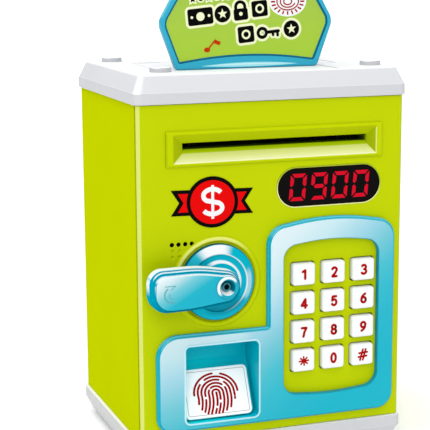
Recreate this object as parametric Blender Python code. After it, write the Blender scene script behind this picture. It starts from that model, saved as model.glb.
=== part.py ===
"""Toy savings bank shaped like a cash machine: cabinet, front door, keypad, handle and bill feeder.

Millimetres inside this script, metres in the scene. X to the viewer's right, Y to the back, Z up.
The origin is on the floor, under the middle of the overall box, handle included. Depths are written
from the middle of the cabinet, and everything is set back by SHIFT_Y when it is placed.
"""
import math

import bmesh
import bpy
from mathutils import Vector

MM = 0.001

SHIFT_Y = 7.1                     # half of what the handle adds to the depth

# Driving dimensions of the cabinet
WIDTH = 130.0
DEPTH = 100.0
BODY_H = 155.4
FOOT_H = 2.0
BASE_H = 12.6
Z0 = FOOT_H + BASE_H              # lower edge of the body
Z1 = Z0 + BODY_H                  # upper edge of the body
HALF_W = WIDTH / 2
FRONT = -DEPTH / 2                # outer face of the door
BACK = DEPTH / 2
GAP = 0.3                         # clearance between neighbours
WALL = 2.2
OVERHANG = 1.3                    # cap and base past the body
BAND_H = 5.2                      # upright edge of the cap
CAP_BEVEL_H = 7.6
CAP_INSET = 3.6
CAP_TOP = Z1 + BAND_H + CAP_BEVEL_H
RIM = 4.4                         # wall thickness of cap and base

# Door, hinged on the right
DOOR_T = 3.4
DOOR_BACK = FRONT + DOOR_T
DOOR_EDGE = 1.6                   # chamfer
BARREL_R = 3.4
HINGE_X = HALF_W - BARREL_R
HINGE_Y = DOOR_BACK
PIN_R = 1.2
PIN_BORE_R = 1.28
PIN_DEPTH = 8.0

# Bill slot
SLOT_Z = Z0 + 135.2
SLOT_X = 1.0
SLOT_HW = 53.0
SLOT_HH = 8.0
THROAT_HW = 45.0
THROAT_HH = 2.3
SLOT_PROUD = 1.2
DUCT_END = -38.6

# Display
DISP_X = 27.3
DISP_Z = Z0 + 114.7
DISP_W = 52.0
DISP_H = 18.4

# Badge
BADGE_X = -30.1
BADGE_Z = Z0 + 111.0
BADGE_R = 11.7
LABEL_T = 0.25

# Keypad and bezel
KEY_X = 29.2
KEY_Z = Z0 + 53.2
KEY_PX = 15.2
KEY_PZ = 13.85
KEY_W = 11.4
KEY_H = 10.5
KEY_PROUD = 2.7
KEY_TRAVEL = 1.3
BEZEL_PROUD = 3.0
BEZEL_L = -4.0
BEZEL_R = 60.6
BEZEL_TOP = Z0 + 98.8
BEZEL_STEP = Z0 + 50.4
BEZEL_LL = -57.8
BEZEL_BOT = Z0 + 4.6
WIN_L, WIN_R = 3.7, 51.9
WIN_B, WIN_T = Z0 + 17.2, Z0 + 88.4

# Fingerprint pocket
POCKET_L, POCKET_R = -44.4, -8.8
POCKET_B, POCKET_T = Z0 + 8.4, Z0 + 44.9
POCKET_FLOOR = -35.2
PAD_TILT = math.radians(24.5)
PAD_W, PAD_LEN, PAD_T = 32.0, 24.0, 2.0
PAD_TRAVEL = 1.0

# Knob
KNOB_X = -28.2
KNOB_Z = Z0 + 73.7
DIAL_R = 17.8
SURROUND_R = 21.2
SHAFT_R = 4.0
LEVER_BACK = -58.5
LEVER_FRONT = -64.5
CAM_Y0, CAM_Y1 = -16.9, -13.5
CAM_HUB_R = 11.0
CAM_NOTCH_R = 7.2
CAM_REACH = 34.0
PLUNGER_R = 1.8

# Electronics cover on the inside of the door
COVER_L, COVER_R = -58.0, 56.5
COVER_B, COVER_T = Z0 + 3.0, Z0 + 104.0
COVER_BACK = -21.0
COVER_WALL = 1.8
BAY_L, BAY_R = -2.6, 51.6
BAY_B, BAY_T = Z0 + 11.0, Z0 + 57.4
BAY_FLOOR = -36.8
CELL_R = 7.2
CELL_L = 50.0

# Bill feeder
ROLL_Y = -33.0
ROLL_R = 4.5
ROLL_X0, ROLL_X1 = -31.0, 9.0      # rubber part, clear of the motor
GEAR_TEETH = 12
GEAR_SPAN = 9.5                   # distance between gear centres
GEAR_TIP, GEAR_ROOT = 5.2, 3.8
EAR_IN, EAR_OUT = 36.0, 37.6

# Sign on top
SIGN_X = -4.4
SIGN_Y0, SIGN_Y1 = -28.0, -24.4
SIGN_H = 40.0
STUDS = ((-48.2, -32.0), (56.0, -32.0), (-51.6, 38.0), (56.0, 38.0))

COIN_X, COIN_Y = 0.0, 8.0
COIN_HW, COIN_HD = 15.6, 2.3


def clear_scene():
    for obj in list(bpy.data.objects):
        bpy.data.objects.remove(obj, do_unlink=True)


def material(name, colour, roughness, metallic=0.0):
    mat = bpy.data.materials.new(name)
    mat.use_nodes = True
    bsdf = mat.node_tree.nodes["Principled BSDF"]
    bsdf.inputs["Base Color"].default_value = (*colour, 1.0)
    bsdf.inputs["Roughness"].default_value = roughness
    bsdf.inputs["Metallic"].default_value = metallic
    return mat


LIME = (0.50, 0.67, 0.005)
WHITE = (0.86, 0.86, 0.88)
TURQUOISE = (0.01, 0.48, 0.65)
GLOSS_BLACK = (0.012, 0.006, 0.008)
RED = (0.80, 0.005, 0.012)
SIGN_YELLOW = (0.55, 0.72, 0.09)
PCB_GREEN = (0.01, 0.16, 0.06)
STEEL = (0.60, 0.60, 0.62)
DARK = (0.03, 0.03, 0.035)
GREY = (0.45, 0.46, 0.48)


def finish(bm, name, colour, roughness=0.3, metallic=0.0, origin=(0, 0, 0), parent=None, smooth=False):
    """Turn a mesh in world millimetres into an object whose origin is the given point."""
    bmesh.ops.recalc_face_normals(bm, faces=bm.faces)
    base = Vector(origin)
    for vert in bm.verts:
        vert.co = (vert.co - base) * MM
    mesh = bpy.data.meshes.new(name)
    bm.to_mesh(mesh)
    bm.free()
    for poly in mesh.polygons:
        poly.use_smooth = smooth
    obj = bpy.data.objects.new(name, mesh)
    obj.data.materials.append(material(name, colour, roughness, metallic))
    bpy.context.collection.objects.link(obj)
    obj.location = placed(origin)
    if parent is not None:
        obj.parent = parent
        obj.location = placed(origin) - parent.location
    return obj


def placed(point):
    return (Vector(point) + Vector((0, SHIFT_Y, 0))) * MM


def axis_empty(name, point):
    empty = bpy.data.objects.new(name, None)
    empty.empty_display_size = 0.01
    bpy.context.collection.objects.link(empty)
    empty.location = placed(point)
    return empty


def loft(rings, closed=False):
    """Skin between rings of equal length; the ends are capped unless the loft closes on itself."""
    bm = bmesh.new()
    loops = [[bm.verts.new(p) for p in ring] for ring in rings]
    pairs = list(zip(loops, loops[1:]))
    if closed:
        pairs.append((loops[-1], loops[0]))
    for low, high in pairs:
        for i in range(len(low)):
            j = (i + 1) % len(low)
            bm.faces.new((low[i], low[j], high[j], high[i]))
    if not closed:
        bm.faces.new(loops[0])
        bm.faces.new(loops[-1])
    return bm


def along_y(points, y0, y1):
    return loft([[(x, y, z) for x, z in points] for y in (y0, y1)])


def along_z(points, z0, z1):
    return loft([[(x, y, z) for x, y in points] for z in (z0, z1)])


def along_x(points, x0, x1):
    return loft([[(x, y, z) for y, z in points] for x in (x0, x1)])


def block(x0, x1, y0, y1, z0, z1):
    return along_z([(x0, y0), (x1, y0), (x1, y1), (x0, y1)], z0, z1)


def arc(cx, cz, r, a0, a1, steps):
    angles = [math.radians(a0 + (a1 - a0) * i / steps) for i in range(steps + 1)]
    return [(cx + r * math.cos(a), cz + r * math.sin(a)) for a in angles]


def circle(cx, cz, r, steps=32):
    return arc(cx, cz, r, 0, 360, steps)[:-1]


def rounded(x0, x1, z0, z1, r, steps=5):
    pts = arc(x1 - r, z0 + r, r, -90, 0, steps) + arc(x1 - r, z1 - r, r, 0, 90, steps)
    return pts + arc(x0 + r, z1 - r, r, 90, 180, steps) + arc(x0 + r, z0 + r, r, 180, 270, steps)


def rod_y(cx, cz, r, y0, y1, steps=32):
    return along_y(circle(cx, cz, r, steps), y0, y1)


def rod_x(cy, cz, r, x0, x1, steps=32):
    return along_x(circle(cy, cz, r, steps), x0, x1)


def rod_z(cx, cy, r, z0, z1, steps=32):
    return along_z(circle(cx, cy, r, steps), z0, z1)


def turned_y(cx, cz, profile, steps=48):
    """Closed (radius, y) profile swept round an axis along Y."""
    turns = [2 * math.pi * i / steps for i in range(steps)]
    rings = [[(cx + r * math.cos(a), y, cz + r * math.sin(a)) for a in turns] for r, y in profile]
    if min(r for r, _ in profile) > 0.01:
        return loft(rings, closed=True)
    return loft([ring for ring, (r, _) in zip(rings, profile) if r > 0.01])


def turned_x(cy, cz, profile, steps=32):
    """(radius, x) profile of a solid shaft along X."""
    turns = [2 * math.pi * i / steps for i in range(steps)]
    return loft([[(x, cy + r * math.cos(a), cz + r * math.sin(a)) for a in turns] for r, x in profile])


def shape(target, cutters, operation="DIFFERENCE"):
    """Boolean each cutter mesh into the target with the exact solver."""
    for number, bm in enumerate(cutters):
        tool = finish(bm, "tool_" + target.name + "_" + operation.lower() + str(number), GREY)
        tool.hide_render = True
        tool.display_type = "WIRE"
        tool.hide_set(True)
        mod = target.modifiers.new("bool", "BOOLEAN")
        mod.operation = operation
        mod.solver = "EXACT"
        mod.object = tool


# ---------------------------------------------------------------- cabinet

def build_rear_shell():
    """Back and side walls in one moulding; the right wall stops short behind the hinge barrel."""
    r, front_l = 3.0, DOOR_BACK + 0.4
    front_r = HINGE_Y + 4.3
    outer = [(HALF_W, front_r)] + arc(HALF_W - r, BACK - r, r, 0, 90, 4)
    outer += arc(-HALF_W + r, BACK - r, r, 90, 180, 4) + [(-HALF_W, front_l)]
    inner_r = r - 1.0
    xi, yi = HALF_W - WALL, BACK - WALL
    inner = [(-xi, front_l)] + arc(-xi + inner_r, yi - inner_r, inner_r, 180, 90, 4)
    inner += arc(xi - inner_r, yi - inner_r, inner_r, 90, 0, 4) + [(xi, front_r)]
    finish(along_z(outer + inner, Z0 + 0.1, Z1 - 0.1), "rear_shell", LIME)


def plan_ring(grow, z, r):
    hw, hd = HALF_W + grow, DEPTH / 2 + grow
    return [(x, y, z) for x, y in rounded(-hw, hw, -hd, hd, r)]


def build_top_cap():
    o = OVERHANG
    rings = [plan_ring(o, Z1, 4.0), plan_ring(o, Z1 + BAND_H, 4.0)]
    rings += [plan_ring(o - 0.5, Z1 + BAND_H + 0.6, 3.8)]
    rings += [plan_ring(o - CAP_INSET, CAP_TOP - 0.4, 2.6), plan_ring(o - CAP_INSET - 0.6, CAP_TOP, 2.2)]
    cap = finish(loft(rings), "top_cap", WHITE, 0.35)
    hollow = loft([plan_ring(-RIM + o, Z1 - 1, 3.0), plan_ring(-RIM + o, Z1 + BAND_H, 3.0),
                   plan_ring(-RIM - 4.5, CAP_TOP - 2.4, 2.0)])
    slot = block(COIN_X - COIN_HW - 1.5, COIN_X + COIN_HW + 1.5, COIN_Y - COIN_HD - 1.5,
                 COIN_Y + COIN_HD + 1.5, CAP_TOP - 8, CAP_TOP + 1)
    shape(cap, [hollow, slot])
    studs = [turned_z_stud(x, y) for x, y in STUDS]
    socket = rod_z(HINGE_X, HINGE_Y, PIN_BORE_R + 1.2, Z1 + 0.0, Z1 + BAND_H + 2, 24)
    shape(cap, studs + [socket], "UNION")
    shape(cap, [rod_z(HINGE_X, HINGE_Y, PIN_BORE_R, Z1 - 1, Z1 + BAND_H, 24)])


def turned_z_stud(x, y):
    top = CAP_TOP + 2.2
    levels = [(4.9, CAP_TOP - 1), (4.9, top - 0.5), (4.3, top)]
    return loft([[(px, py, z) for px, py in circle(x, y, r, 28)] for r, z in levels])


def build_base_tray():
    o, low = OVERHANG, FOOT_H
    rings = [plan_ring(o - CAP_INSET - 0.6, low, 2.2), plan_ring(o - CAP_INSET, low + 0.4, 2.6)]
    rings += [plan_ring(o, Z0 - 5.9, 4.0), plan_ring(o, Z0, 4.0)]
    rings += [plan_ring(o - RIM, Z0, 3.0), plan_ring(o - RIM, Z0 - 5.0, 3.0)]
    rings += [plan_ring(-RIM - 4.5, low + 2.4, 2.0)]
    tray = finish(loft(rings), "base_tray", WHITE, 0.35)
    socket = rod_z(HINGE_X, HINGE_Y, PIN_BORE_R + 1.2, Z0 - 7, Z0, 24)
    shape(tray, [socket], "UNION")
    shape(tray, [rod_z(HINGE_X, HINGE_Y, PIN_BORE_R, Z0 - 5, Z0 + 1, 24)])


def build_feet():
    for tag, sx, sy in (("fl", -1, -1), ("fr", 1, -1), ("rl", -1, 1), ("rr", 1, 1)):
        pts = circle(sx * (HALF_W - 12), sy * (DEPTH / 2 - 12), 5.0, 24)
        finish(along_z(pts, 0.0, FOOT_H - 0.05), "foot_" + tag, DARK, 0.8)


def build_hinge_pins():
    grip = 4.0
    for name, z0, z1 in (("hinge_pin_top", Z1 - PIN_DEPTH, Z1 + grip),
                         ("hinge_pin_bottom", Z0 - grip, Z0 + PIN_DEPTH)):
        finish(rod_z(HINGE_X, HINGE_Y, PIN_R, z0, z1, 24), name, STEEL, 0.3, 1.0, smooth=True)


def build_keeper():
    z = KNOB_Z
    outline = [(-62.6, -22.4), (-58.7, -20.6), (-58.7, -17.4), (-62.6, -17.4)]
    finish(along_z(outline, z - 6, z + 6), "keeper", STEEL, 0.3, 1.0)


def build_coin_slot_trim():
    hw, hd = COIN_HW + 1.2, COIN_HD + 1.2
    levels = [(hw, hd, CAP_TOP - 6), (hw, hd, CAP_TOP + 0.2), (hw + 1.6, hd + 1.6, CAP_TOP + 0.2),
              (hw + 1.6, hd + 1.6, CAP_TOP + 0.7), (hw + 1.0, hd + 1.0, CAP_TOP + 1.2),
              (COIN_HW, COIN_HD, CAP_TOP + 1.2), (COIN_HW, COIN_HD, CAP_TOP - 6)]
    rings = [[(COIN_X + x, COIN_Y + y, z) for x, y in rounded(-w, w, -d, d, 1.0, 3)] for w, d, z in levels]
    finish(loft(rings, closed=True), "coin_slot_trim", WHITE, 0.35)


def sign_outline(inset):
    """Bottom edge bowed down a little, sides flaring to the middle and closing again above it."""
    low, mid, high = CAP_TOP + 0.05, CAP_TOP + 19.5, CAP_TOP + SIGN_H - 1.0
    w_low, w_mid, w_high = 34.6, 42.0, 35.0
    half = [(0.0, low + inset), (w_low * 0.5, low + 0.25 + inset)]
    half += arc(w_low - 4.4, low + 5.2, 4.4 - inset, -84, -20, 4)
    half += arc(w_mid - 8.0, mid, 8.0 - inset, -20, 22, 4)
    half += arc(w_high - 6.0, high - 6.0, 6.0 - inset, 22, 82, 4)
    half += [(w_high * 0.4, high + 0.6 - inset), (0.0, high + 1.0 - inset)]
    left = [(-x, z) for x, z in reversed(half[1:-1])]
    return [(SIGN_X + x, z) for x, z in half + left]


def build_sign():
    frame = finish(along_y(sign_outline(0.0), SIGN_Y0, SIGN_Y1), "sign_frame", TURQUOISE)
    shape(frame, [along_y(sign_outline(3.0), SIGN_Y0 - 1, SIGN_Y0 + 2.2)])
    finish(along_y(sign_outline(3.4), SIGN_Y0 + 0.6, SIGN_Y0 + 2.1), "sign_panel", SIGN_YELLOW)


# ---------------------------------------------------------------- door

def door_section():
    x0, c = -HALF_W, DOOR_EDGE
    pts = [(x0, DOOR_BACK), (x0, FRONT + c), (x0 + c, FRONT), (HALF_W - c, FRONT), (HALF_W, FRONT + c)]
    return pts + arc(HINGE_X, HINGE_Y, BARREL_R, 0, 180, 12)


def key_places():
    names = ("key_1", "key_2", "key_3", "key_4", "key_5", "key_6", "key_7", "key_8", "key_9",
             "key_star", "key_0", "key_hash")
    for number, name in enumerate(names):
        row, col = divmod(number, 3)
        yield name, KEY_X + (col - 1) * KEY_PX, KEY_Z + (1.5 - row) * KEY_PZ


def build_door_panel(door):
    panel = finish(along_z(door_section(), Z0 + GAP, Z1 - GAP), "door_panel", LIME, parent=door)
    y0, y1 = FRONT - 2, DOOR_BACK + 2
    hw, hh = SLOT_HW - 1.5, SLOT_HH - 1.5
    cutters = [block(SLOT_X - hw, SLOT_X + hw, y0, y1, SLOT_Z - hh, SLOT_Z + hh)]
    w, h = DISP_W / 2 + 0.2, DISP_H / 2 + 0.2
    cutters += [along_y(rounded(DISP_X - w, DISP_X + w, DISP_Z - h, DISP_Z + h, h, 8), y0, y1)]
    cutters += [along_y(rounded(POCKET_L - 2.2, POCKET_R + 2.2, POCKET_B - 2.2, POCKET_T + 2.2, 1.0), y0, y1)]
    cutters += [rod_y(KNOB_X, KNOB_Z, SHAFT_R + 1.6, y0, y1)]
    for i in range(4):
        cutters += [rod_y(-49.3 + 3.05 * i, Z0 + 92.1, 0.9, y0, y1, 12)]
    for _, x, z in key_places():
        w, h = KEY_W / 2 + 0.3, KEY_H / 2 + 0.3
        cutters += [along_y(rounded(x - w, x + w, z - h, z + h, 1.5, 3), y0, y1)]
    for z0, z1 in ((Z0 - 1, Z0 + PIN_DEPTH + 0.4), (Z1 - PIN_DEPTH - 0.4, Z1 + 1)):
        cutters += [rod_z(HINGE_X, HINGE_Y, PIN_BORE_R, z0, z1, 24)]
    shape(panel, cutters)


def build_slot_bezel(door):
    """Raised border, funnel and duct of the bill slot."""
    def ring(cx, hw, z0, z1, y):
        return [(x, y, z) for x, z in rounded(cx - hw, cx + hw, z0, z1, 0.8, 2)]
    z, out = SLOT_Z, FRONT - SLOT_PROUD
    duct_hw, duct_hh = THROAT_HW + 1.2, THROAT_HH + 1.2
    rings = [ring(SLOT_X, SLOT_HW, z - SLOT_HH, z + SLOT_HH, FRONT - 0.05),
             ring(SLOT_X, SLOT_HW, z - SLOT_HH, z + SLOT_HH, out + 0.6),
             ring(SLOT_X, SLOT_HW - 0.8, z - SLOT_HH + 0.8, z + SLOT_HH - 0.8, out),
             ring(SLOT_X, 49.4, z - 6.2, z + 6.4, out),
             ring(SLOT_X + 1, THROAT_HW, z - THROAT_HH, z + THROAT_HH, -47.4),
             ring(SLOT_X + 1, THROAT_HW, z - THROAT_HH, z + THROAT_HH, DUCT_END),
             ring(SLOT_X + 1, duct_hw, z - duct_hh, z + duct_hh, DUCT_END),
             ring(SLOT_X + 1, duct_hw, z - duct_hh, z + duct_hh, -46.0),
             ring(SLOT_X, 51.0, z - 6.2, z + 6.2, -46.8),
             ring(SLOT_X, 51.0, z - 6.2, z + 6.2, FRONT - 0.05)]
    finish(loft(rings, closed=True), "slot_bezel", LIME, parent=door)


def build_display(door):
    w, h = DISP_W / 2, DISP_H / 2
    outline = rounded(DISP_X - w, DISP_X + w, DISP_Z - h, DISP_Z + h, h, 8)
    finish(along_y(outline, FRONT - 0.2, FRONT + 1.4), "display_window", GLOSS_BLACK, 0.1, parent=door)
    finish(block(DISP_X - 22, DISP_X + 22, FRONT + 1.7, -40.2, DISP_Z - 7, DISP_Z + 7),
           "display_module", DARK, 0.5, parent=door)


def badge_outline(r, shrink):
    """Disc with a swallow-tailed ribbon on each side."""
    h, tip, notch = 5.7 - shrink, 19.3 - shrink * 1.6, 15.6 - shrink * 0.6
    a = math.degrees(math.asin(h / r))
    right = arc(0, 0, r, -180 + a, -a, 12)
    right += [(tip, -h), (notch, 0.0), (tip, h)]
    left = arc(0, 0, r, a, 180 - a, 12) + [(-tip, h), (-notch, 0.0), (-tip, -h)]
    return [(BADGE_X + x, BADGE_Z + z) for x, z in right + left]


def build_badge(door):
    y = FRONT - 0.05
    finish(along_y(badge_outline(BADGE_R, 0.0), y - LABEL_T, y), "badge_backing", GLOSS_BLACK, parent=door)
    y -= LABEL_T + 0.05
    finish(rod_y(BADGE_X, BADGE_Z, BADGE_R - 1.2, y - LABEL_T, y, 40), "badge_face", RED, parent=door)


def bezel_outline(grow):
    """L-shaped outline: keypad panel on the right with an arched top, reader panel at the lower left."""
    r, bot = 7.5, BEZEL_BOT - grow
    right, left, low_left = BEZEL_R + grow, BEZEL_L - grow, BEZEL_LL - grow
    step, top = BEZEL_STEP + grow, BEZEL_TOP + grow
    pts = arc(right - r, bot + r, r, -90, 0, 6) + arc(right - 8, top - 9.5, 8, 0, 72, 6)
    mid, half = (left + right) / 2, (right - left) / 2 - 8
    pts += [(mid + half * t, top + 2.2 - 2.2 * t * t) for t in (0.6, 0.3, 0.0, -0.3, -0.6)]
    pts += arc(left + 8, top - 9.5, 8, 108, 180, 6)
    pts += [(left, step)]
    pts += arc(low_left + 7, step - 7, 7, 90, 180, 6) + arc(low_left + 7, bot + 7, 7, 180, 270, 6)
    return pts


def window_outline(grow):
    x0, x1, z0, z1 = WIN_L - grow, WIN_R + grow, WIN_B - grow, WIN_T + grow
    mid, half = (x0 + x1) / 2, (x1 - x0) / 2 - 7
    pts = [(mid + half * t, z0 - 1.2 + 1.2 * t * t) for t in (-0.6, 0.0, 0.6)]
    pts += arc(x1 - 6, z0 + 6, 6, -78, 0, 5) + arc(x1 - 6, z1 - 6, 6, 0, 76, 5)
    pts += [(mid + half * t, z1 + 1.4 - 1.4 * t * t) for t in (0.6, 0.0, -0.6)]
    return pts + arc(x0 + 6, z1 - 6, 6, 104, 180, 5) + arc(x0 + 6, z0 + 6, 6, 180, 258, 5)


def pocket_section(grow):
    """Side view of the reader pocket: a sloping floor under the pad, then a flat back."""
    run = PAD_LEN + 1.2
    low_y, low_z = FRONT + 3.2, POCKET_B
    top_y, top_z = low_y + run * math.sin(PAD_TILT), low_z + run * math.cos(PAD_TILT)
    back = POCKET_FLOOR
    front = FRONT - 10
    if grow == 0:
        return [(front, POCKET_B), (low_y, low_z), (top_y, top_z), (back, top_z + 2), (back, POCKET_T),
                (front, POCKET_T)]
    return [(FRONT - 0.6, POCKET_B - grow), (low_y + grow * 0.6, low_z - grow), (top_y + grow, top_z - 0.4),
            (back + grow, top_z + 1.4), (back + grow, POCKET_T + grow), (FRONT - 0.6, POCKET_T + grow)]


def build_bezel_trim(door):
    y = FRONT - 0.05
    top = FRONT - BEZEL_PROUD
    rings = [[(x, y, z) for x, z in bezel_outline(0.0)], [(x, top + 0.9, z) for x, z in bezel_outline(-0.4)],
             [(x, top, z) for x, z in bezel_outline(-1.3)]]
    trim = finish(loft(rings), "bezel_trim", TURQUOISE, 0.25, parent=door)
    window = loft([[(x, y + 1, z) for x, z in window_outline(0.0)],
                   [(x, top - 1, z) for x, z in window_outline(0.9)]])
    cup = along_x(pocket_section(1.6), POCKET_L - 1.6, POCKET_R + 1.6)
    shape(trim, [cup], "UNION")
    shape(trim, [window, along_x(pocket_section(0), POCKET_L, POCKET_R)])


def build_fingerprint_pad(door):
    """Sloping reader pad; it moves in along its own normal."""
    run = Vector((0, math.sin(PAD_TILT), math.cos(PAD_TILT)))
    normal = Vector((0, -math.cos(PAD_TILT), math.sin(PAD_TILT)))
    mid_x = (POCKET_L + POCKET_R) / 2 + 0.2
    foot = Vector((mid_x, FRONT + 3.2, POCKET_B)) + run * 0.7 + normal * (PAD_TRAVEL + 0.5)
    rings = []
    for lift, inset in ((0.0, 0.0), (PAD_T - 0.5, 0.0), (PAD_T, 0.5)):
        outline = rounded(-PAD_W / 2 + inset, PAD_W / 2 - inset, inset, PAD_LEN - inset, 1.5, 3)
        rings.append([foot + Vector((u, 0, 0)) + run * v + normal * lift for u, v in outline])
    centre = foot + run * PAD_LEN / 2
    finish(loft(rings), "fingerprint_pad", WHITE, 0.3, origin=centre, parent=door)


def build_keys(door):
    """Key caps with a flange behind the panel; each travels straight in."""
    for name, x, z in key_places():
        w, h = KEY_W / 2, KEY_H / 2
        y = FRONT - KEY_PROUD
        levels = [(w - 1.0, h - 1.0, y), (w - 0.35, h - 0.35, y + 0.3), (w, h, y + 1.0), (w, h, DOOR_BACK + 0.2),
                  (w + 0.9, h + 0.9, DOOR_BACK + 0.2), (w + 0.9, h + 0.9, DOOR_BACK + 1.1)]
        rings = [[(x + px, yy, z + pz) for px, pz in rounded(-a, a, -b, b, 1.4, 3)] for a, b, yy in levels]
        finish(loft(rings), name, WHITE, 0.3, origin=(x, y, z), parent=door)


def build_keypad_works(door):
    x0, x1 = KEY_X - 23.5, KEY_X + 23.5
    z0, z1 = KEY_Z - 29, KEY_Z + 29
    y = DOOR_BACK + 1.1 + KEY_TRAVEL + 0.3
    finish(block(x0, x1, y, y + 0.8, z0, z1), "keypad_mat", GREY, 0.7, parent=door)
    finish(block(x0, x1, y + 0.9, y + 2.4, z0, z1), "keypad_pcb", PCB_GREEN, 0.4, parent=door)
    finish(block(x0 - 1, x1 + 1, y + 3.2, y + 4.8, z0 - 4, z1 + 14), "main_pcb", PCB_GREEN, 0.4, parent=door)


def build_speaker(door):
    y = DOOR_BACK + 0.3
    profile = [(11.4, y), (11.4, y + 2.0), (9.0, y + 4.6), (6.2, y + 4.8), (6.2, y + 8.0)]
    rings = [[(x, yy, z) for x, z in circle(-44.4, Z0 + 88.4, r, 36)] for r, yy in profile]
    finish(loft(rings), "speaker", DARK, 0.5, parent=door)


def build_inner_cover(door):
    """Box over the electronics with a battery bay sunk in its back."""
    y0 = DOOR_BACK + 0.3
    t = COVER_WALL
    outline = rounded(COVER_L, COVER_R, COVER_B, COVER_T, 3.0)
    cover = finish(along_y(outline, y0, COVER_BACK), "inner_cover", WHITE, 0.4, parent=door)
    floor = BAY_FLOOR - 1.3
    cuts = [block(COVER_L + t, COVER_R - t, y0 - 1, floor, COVER_B + t, COVER_T - t),
            block(COVER_L + t, BAY_L - 1.6, floor - 1, COVER_BACK - t, COVER_B + t, COVER_T - t),
            block(BAY_L - 2.6, COVER_R - t, floor - 1, COVER_BACK - t, BAY_T + 1.6, COVER_T - t),
            block(BAY_L, BAY_R, BAY_FLOOR, COVER_BACK + 1, BAY_B, BAY_T),
            rod_y(KNOB_X, KNOB_Z, SHAFT_R + 0.8, COVER_BACK - 4, COVER_BACK + 1)]
    shape(cover, cuts)


def build_batteries(door):
    x0 = (BAY_L + BAY_R) / 2 - CELL_L / 2
    y = (BAY_FLOOR + COVER_BACK) / 2
    for i in range(3):
        z = BAY_B + 8.0 + i * 15.2
        flip = -1 if i % 2 else 1
        mid = x0 + CELL_L / 2
        profile = [(CELL_R, mid - flip * CELL_L / 2), (CELL_R, mid + flip * (CELL_L / 2 - 1.6)),
                   (2.6, mid + flip * (CELL_L / 2 - 1.6)), (2.6, mid + flip * CELL_L / 2)]
        finish(turned_x(y, z, profile, 28), "cell_" + str(i + 1), STEEL, 0.3, 0.6, parent=door)
    y = COVER_BACK + 0.2
    lid = rounded(BAY_L - 1.5, BAY_R + 1.5, BAY_B - 1.5, BAY_T + 1.5, 2.0)
    finish(along_y(lid, y, y + 1.6), "battery_lid", WHITE, 0.4, parent=door)
    screw_head(door, "lid_screw", (BAY_L + BAY_R) / 2, BAY_T - 3.0, y + 1.65)


def screw_head(door, name, x, z, y):
    levels = [(2.6, y), (2.6, y + 0.8), (1.6, y + 1.7)]
    rings = [[(px, yy, pz) for px, pz in circle(x, z, r, 20)] for r, yy in levels]
    finish(loft(rings), name, STEEL, 0.3, 1.0, parent=door, smooth=False)


def build_cover_screws(door):
    places = ((COVER_L + 5, COVER_T - 5), (COVER_R - 5, COVER_T - 5), (COVER_L + 5, COVER_B + 5))
    for number, (x, z) in enumerate(places):
        screw_head(door, "cover_screw_" + str(number + 1), x, z, COVER_BACK + 0.05)


# ---------------------------------------------------------------- handle and lock

def build_dial(door):
    y = FRONT - 0.05
    ring = [(SURROUND_R, y), (SURROUND_R - 0.5, y - 0.8), (SURROUND_R - 1.4, y - 1.1),
            (DIAL_R + 0.9, y - 0.9), (DIAL_R + 0.5, y)]
    finish(turned_y(KNOB_X, KNOB_Z, ring, 56), "dial_surround", LIME, parent=door)
    dial = [(DIAL_R, y), (DIAL_R, y - 1.4), (DIAL_R - 3.6, y - 3.6), (DIAL_R - 4.2, y - 3.2),
            (DIAL_R - 7.0, y - 3.8), (DIAL_R - 7.4, y - 5.2), (6.4, y - 6.0), (6.4, y)]
    finish(turned_y(KNOB_X, KNOB_Z, dial, 56), "dial_rosette", TURQUOISE, 0.25, parent=door)


def lever_outline(shrink):
    """Paddle that points left, about as tall as a thumb, narrowing towards its hub."""
    cx, cz = KNOB_X, KNOB_Z + 0.6
    left = -65.4 + shrink
    top, low = KNOB_Z + 11.4 - shrink, KNOB_Z - 9.0 + shrink
    hub = 8.6 - shrink
    pts = arc(cx, cz, hub, -74, 66, 10)
    pts += [(cx - 10, top - 1.0), (cx - 20, top - 0.1)]
    pts += arc(left + 6, top - 6, 6, 92, 180, 5)
    pts += arc(left + 8.5, low + 8.5, 8.5, 180, 268, 6)
    return pts + [(cx - 18, low + 0.2), (cx - 9, low + 0.8)]


def build_knob(knob):
    axis = (KNOB_X, FRONT, KNOB_Z)
    levels = [(0.8, LEVER_BACK), (0.0, LEVER_BACK - 1.0), (0.3, LEVER_FRONT + 1.6), (2.2, LEVER_FRONT)]
    rings = [[(x, y, z) for x, z in lever_outline(s)] for s, y in levels]
    lever = finish(loft(rings), "knob_lever", TURQUOISE, 0.25, origin=axis, parent=knob)
    hub = rod_y(KNOB_X, KNOB_Z, 5.9, LEVER_BACK - 1, -51.5)
    boss = rod_y(KNOB_X, KNOB_Z + 0.4, 4.9, LEVER_FRONT - 1.0, LEVER_FRONT + 2)
    shape(lever, [hub, boss], "UNION")
    shape(lever, [rod_y(KNOB_X, KNOB_Z + 0.4, 3.5, LEVER_FRONT - 2, LEVER_FRONT + 2.4),
                  rod_y(KNOB_X, KNOB_Z, 2.6, -60.0, -51.0)])
    finish(shaft_mesh(), "knob_shaft", GREY, 0.4, origin=axis, parent=knob, smooth=False)
    head = [(2.7, LEVER_FRONT + 2.3), (2.7, LEVER_FRONT + 1.0), (1.9, LEVER_FRONT + 0.6)]
    rings = [[(x, y, z) for x, z in circle(KNOB_X, KNOB_Z + 0.4, r, 20)] for r, y in head]
    finish(loft(rings), "knob_screw", STEEL, 0.3, 1.0, origin=axis, parent=knob)


def shaft_mesh():
    levels = [(2.5, -59.8), (2.5, -51.2), (SHAFT_R, -51.2), (SHAFT_R, CAM_Y0 - 0.2), (2.4, CAM_Y0 - 0.2),
              (2.4, CAM_Y1 + 1.0)]
    return loft([[(x, y, z) for x, z in circle(KNOB_X, KNOB_Z, r, 28)] for r, y in levels])


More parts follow.
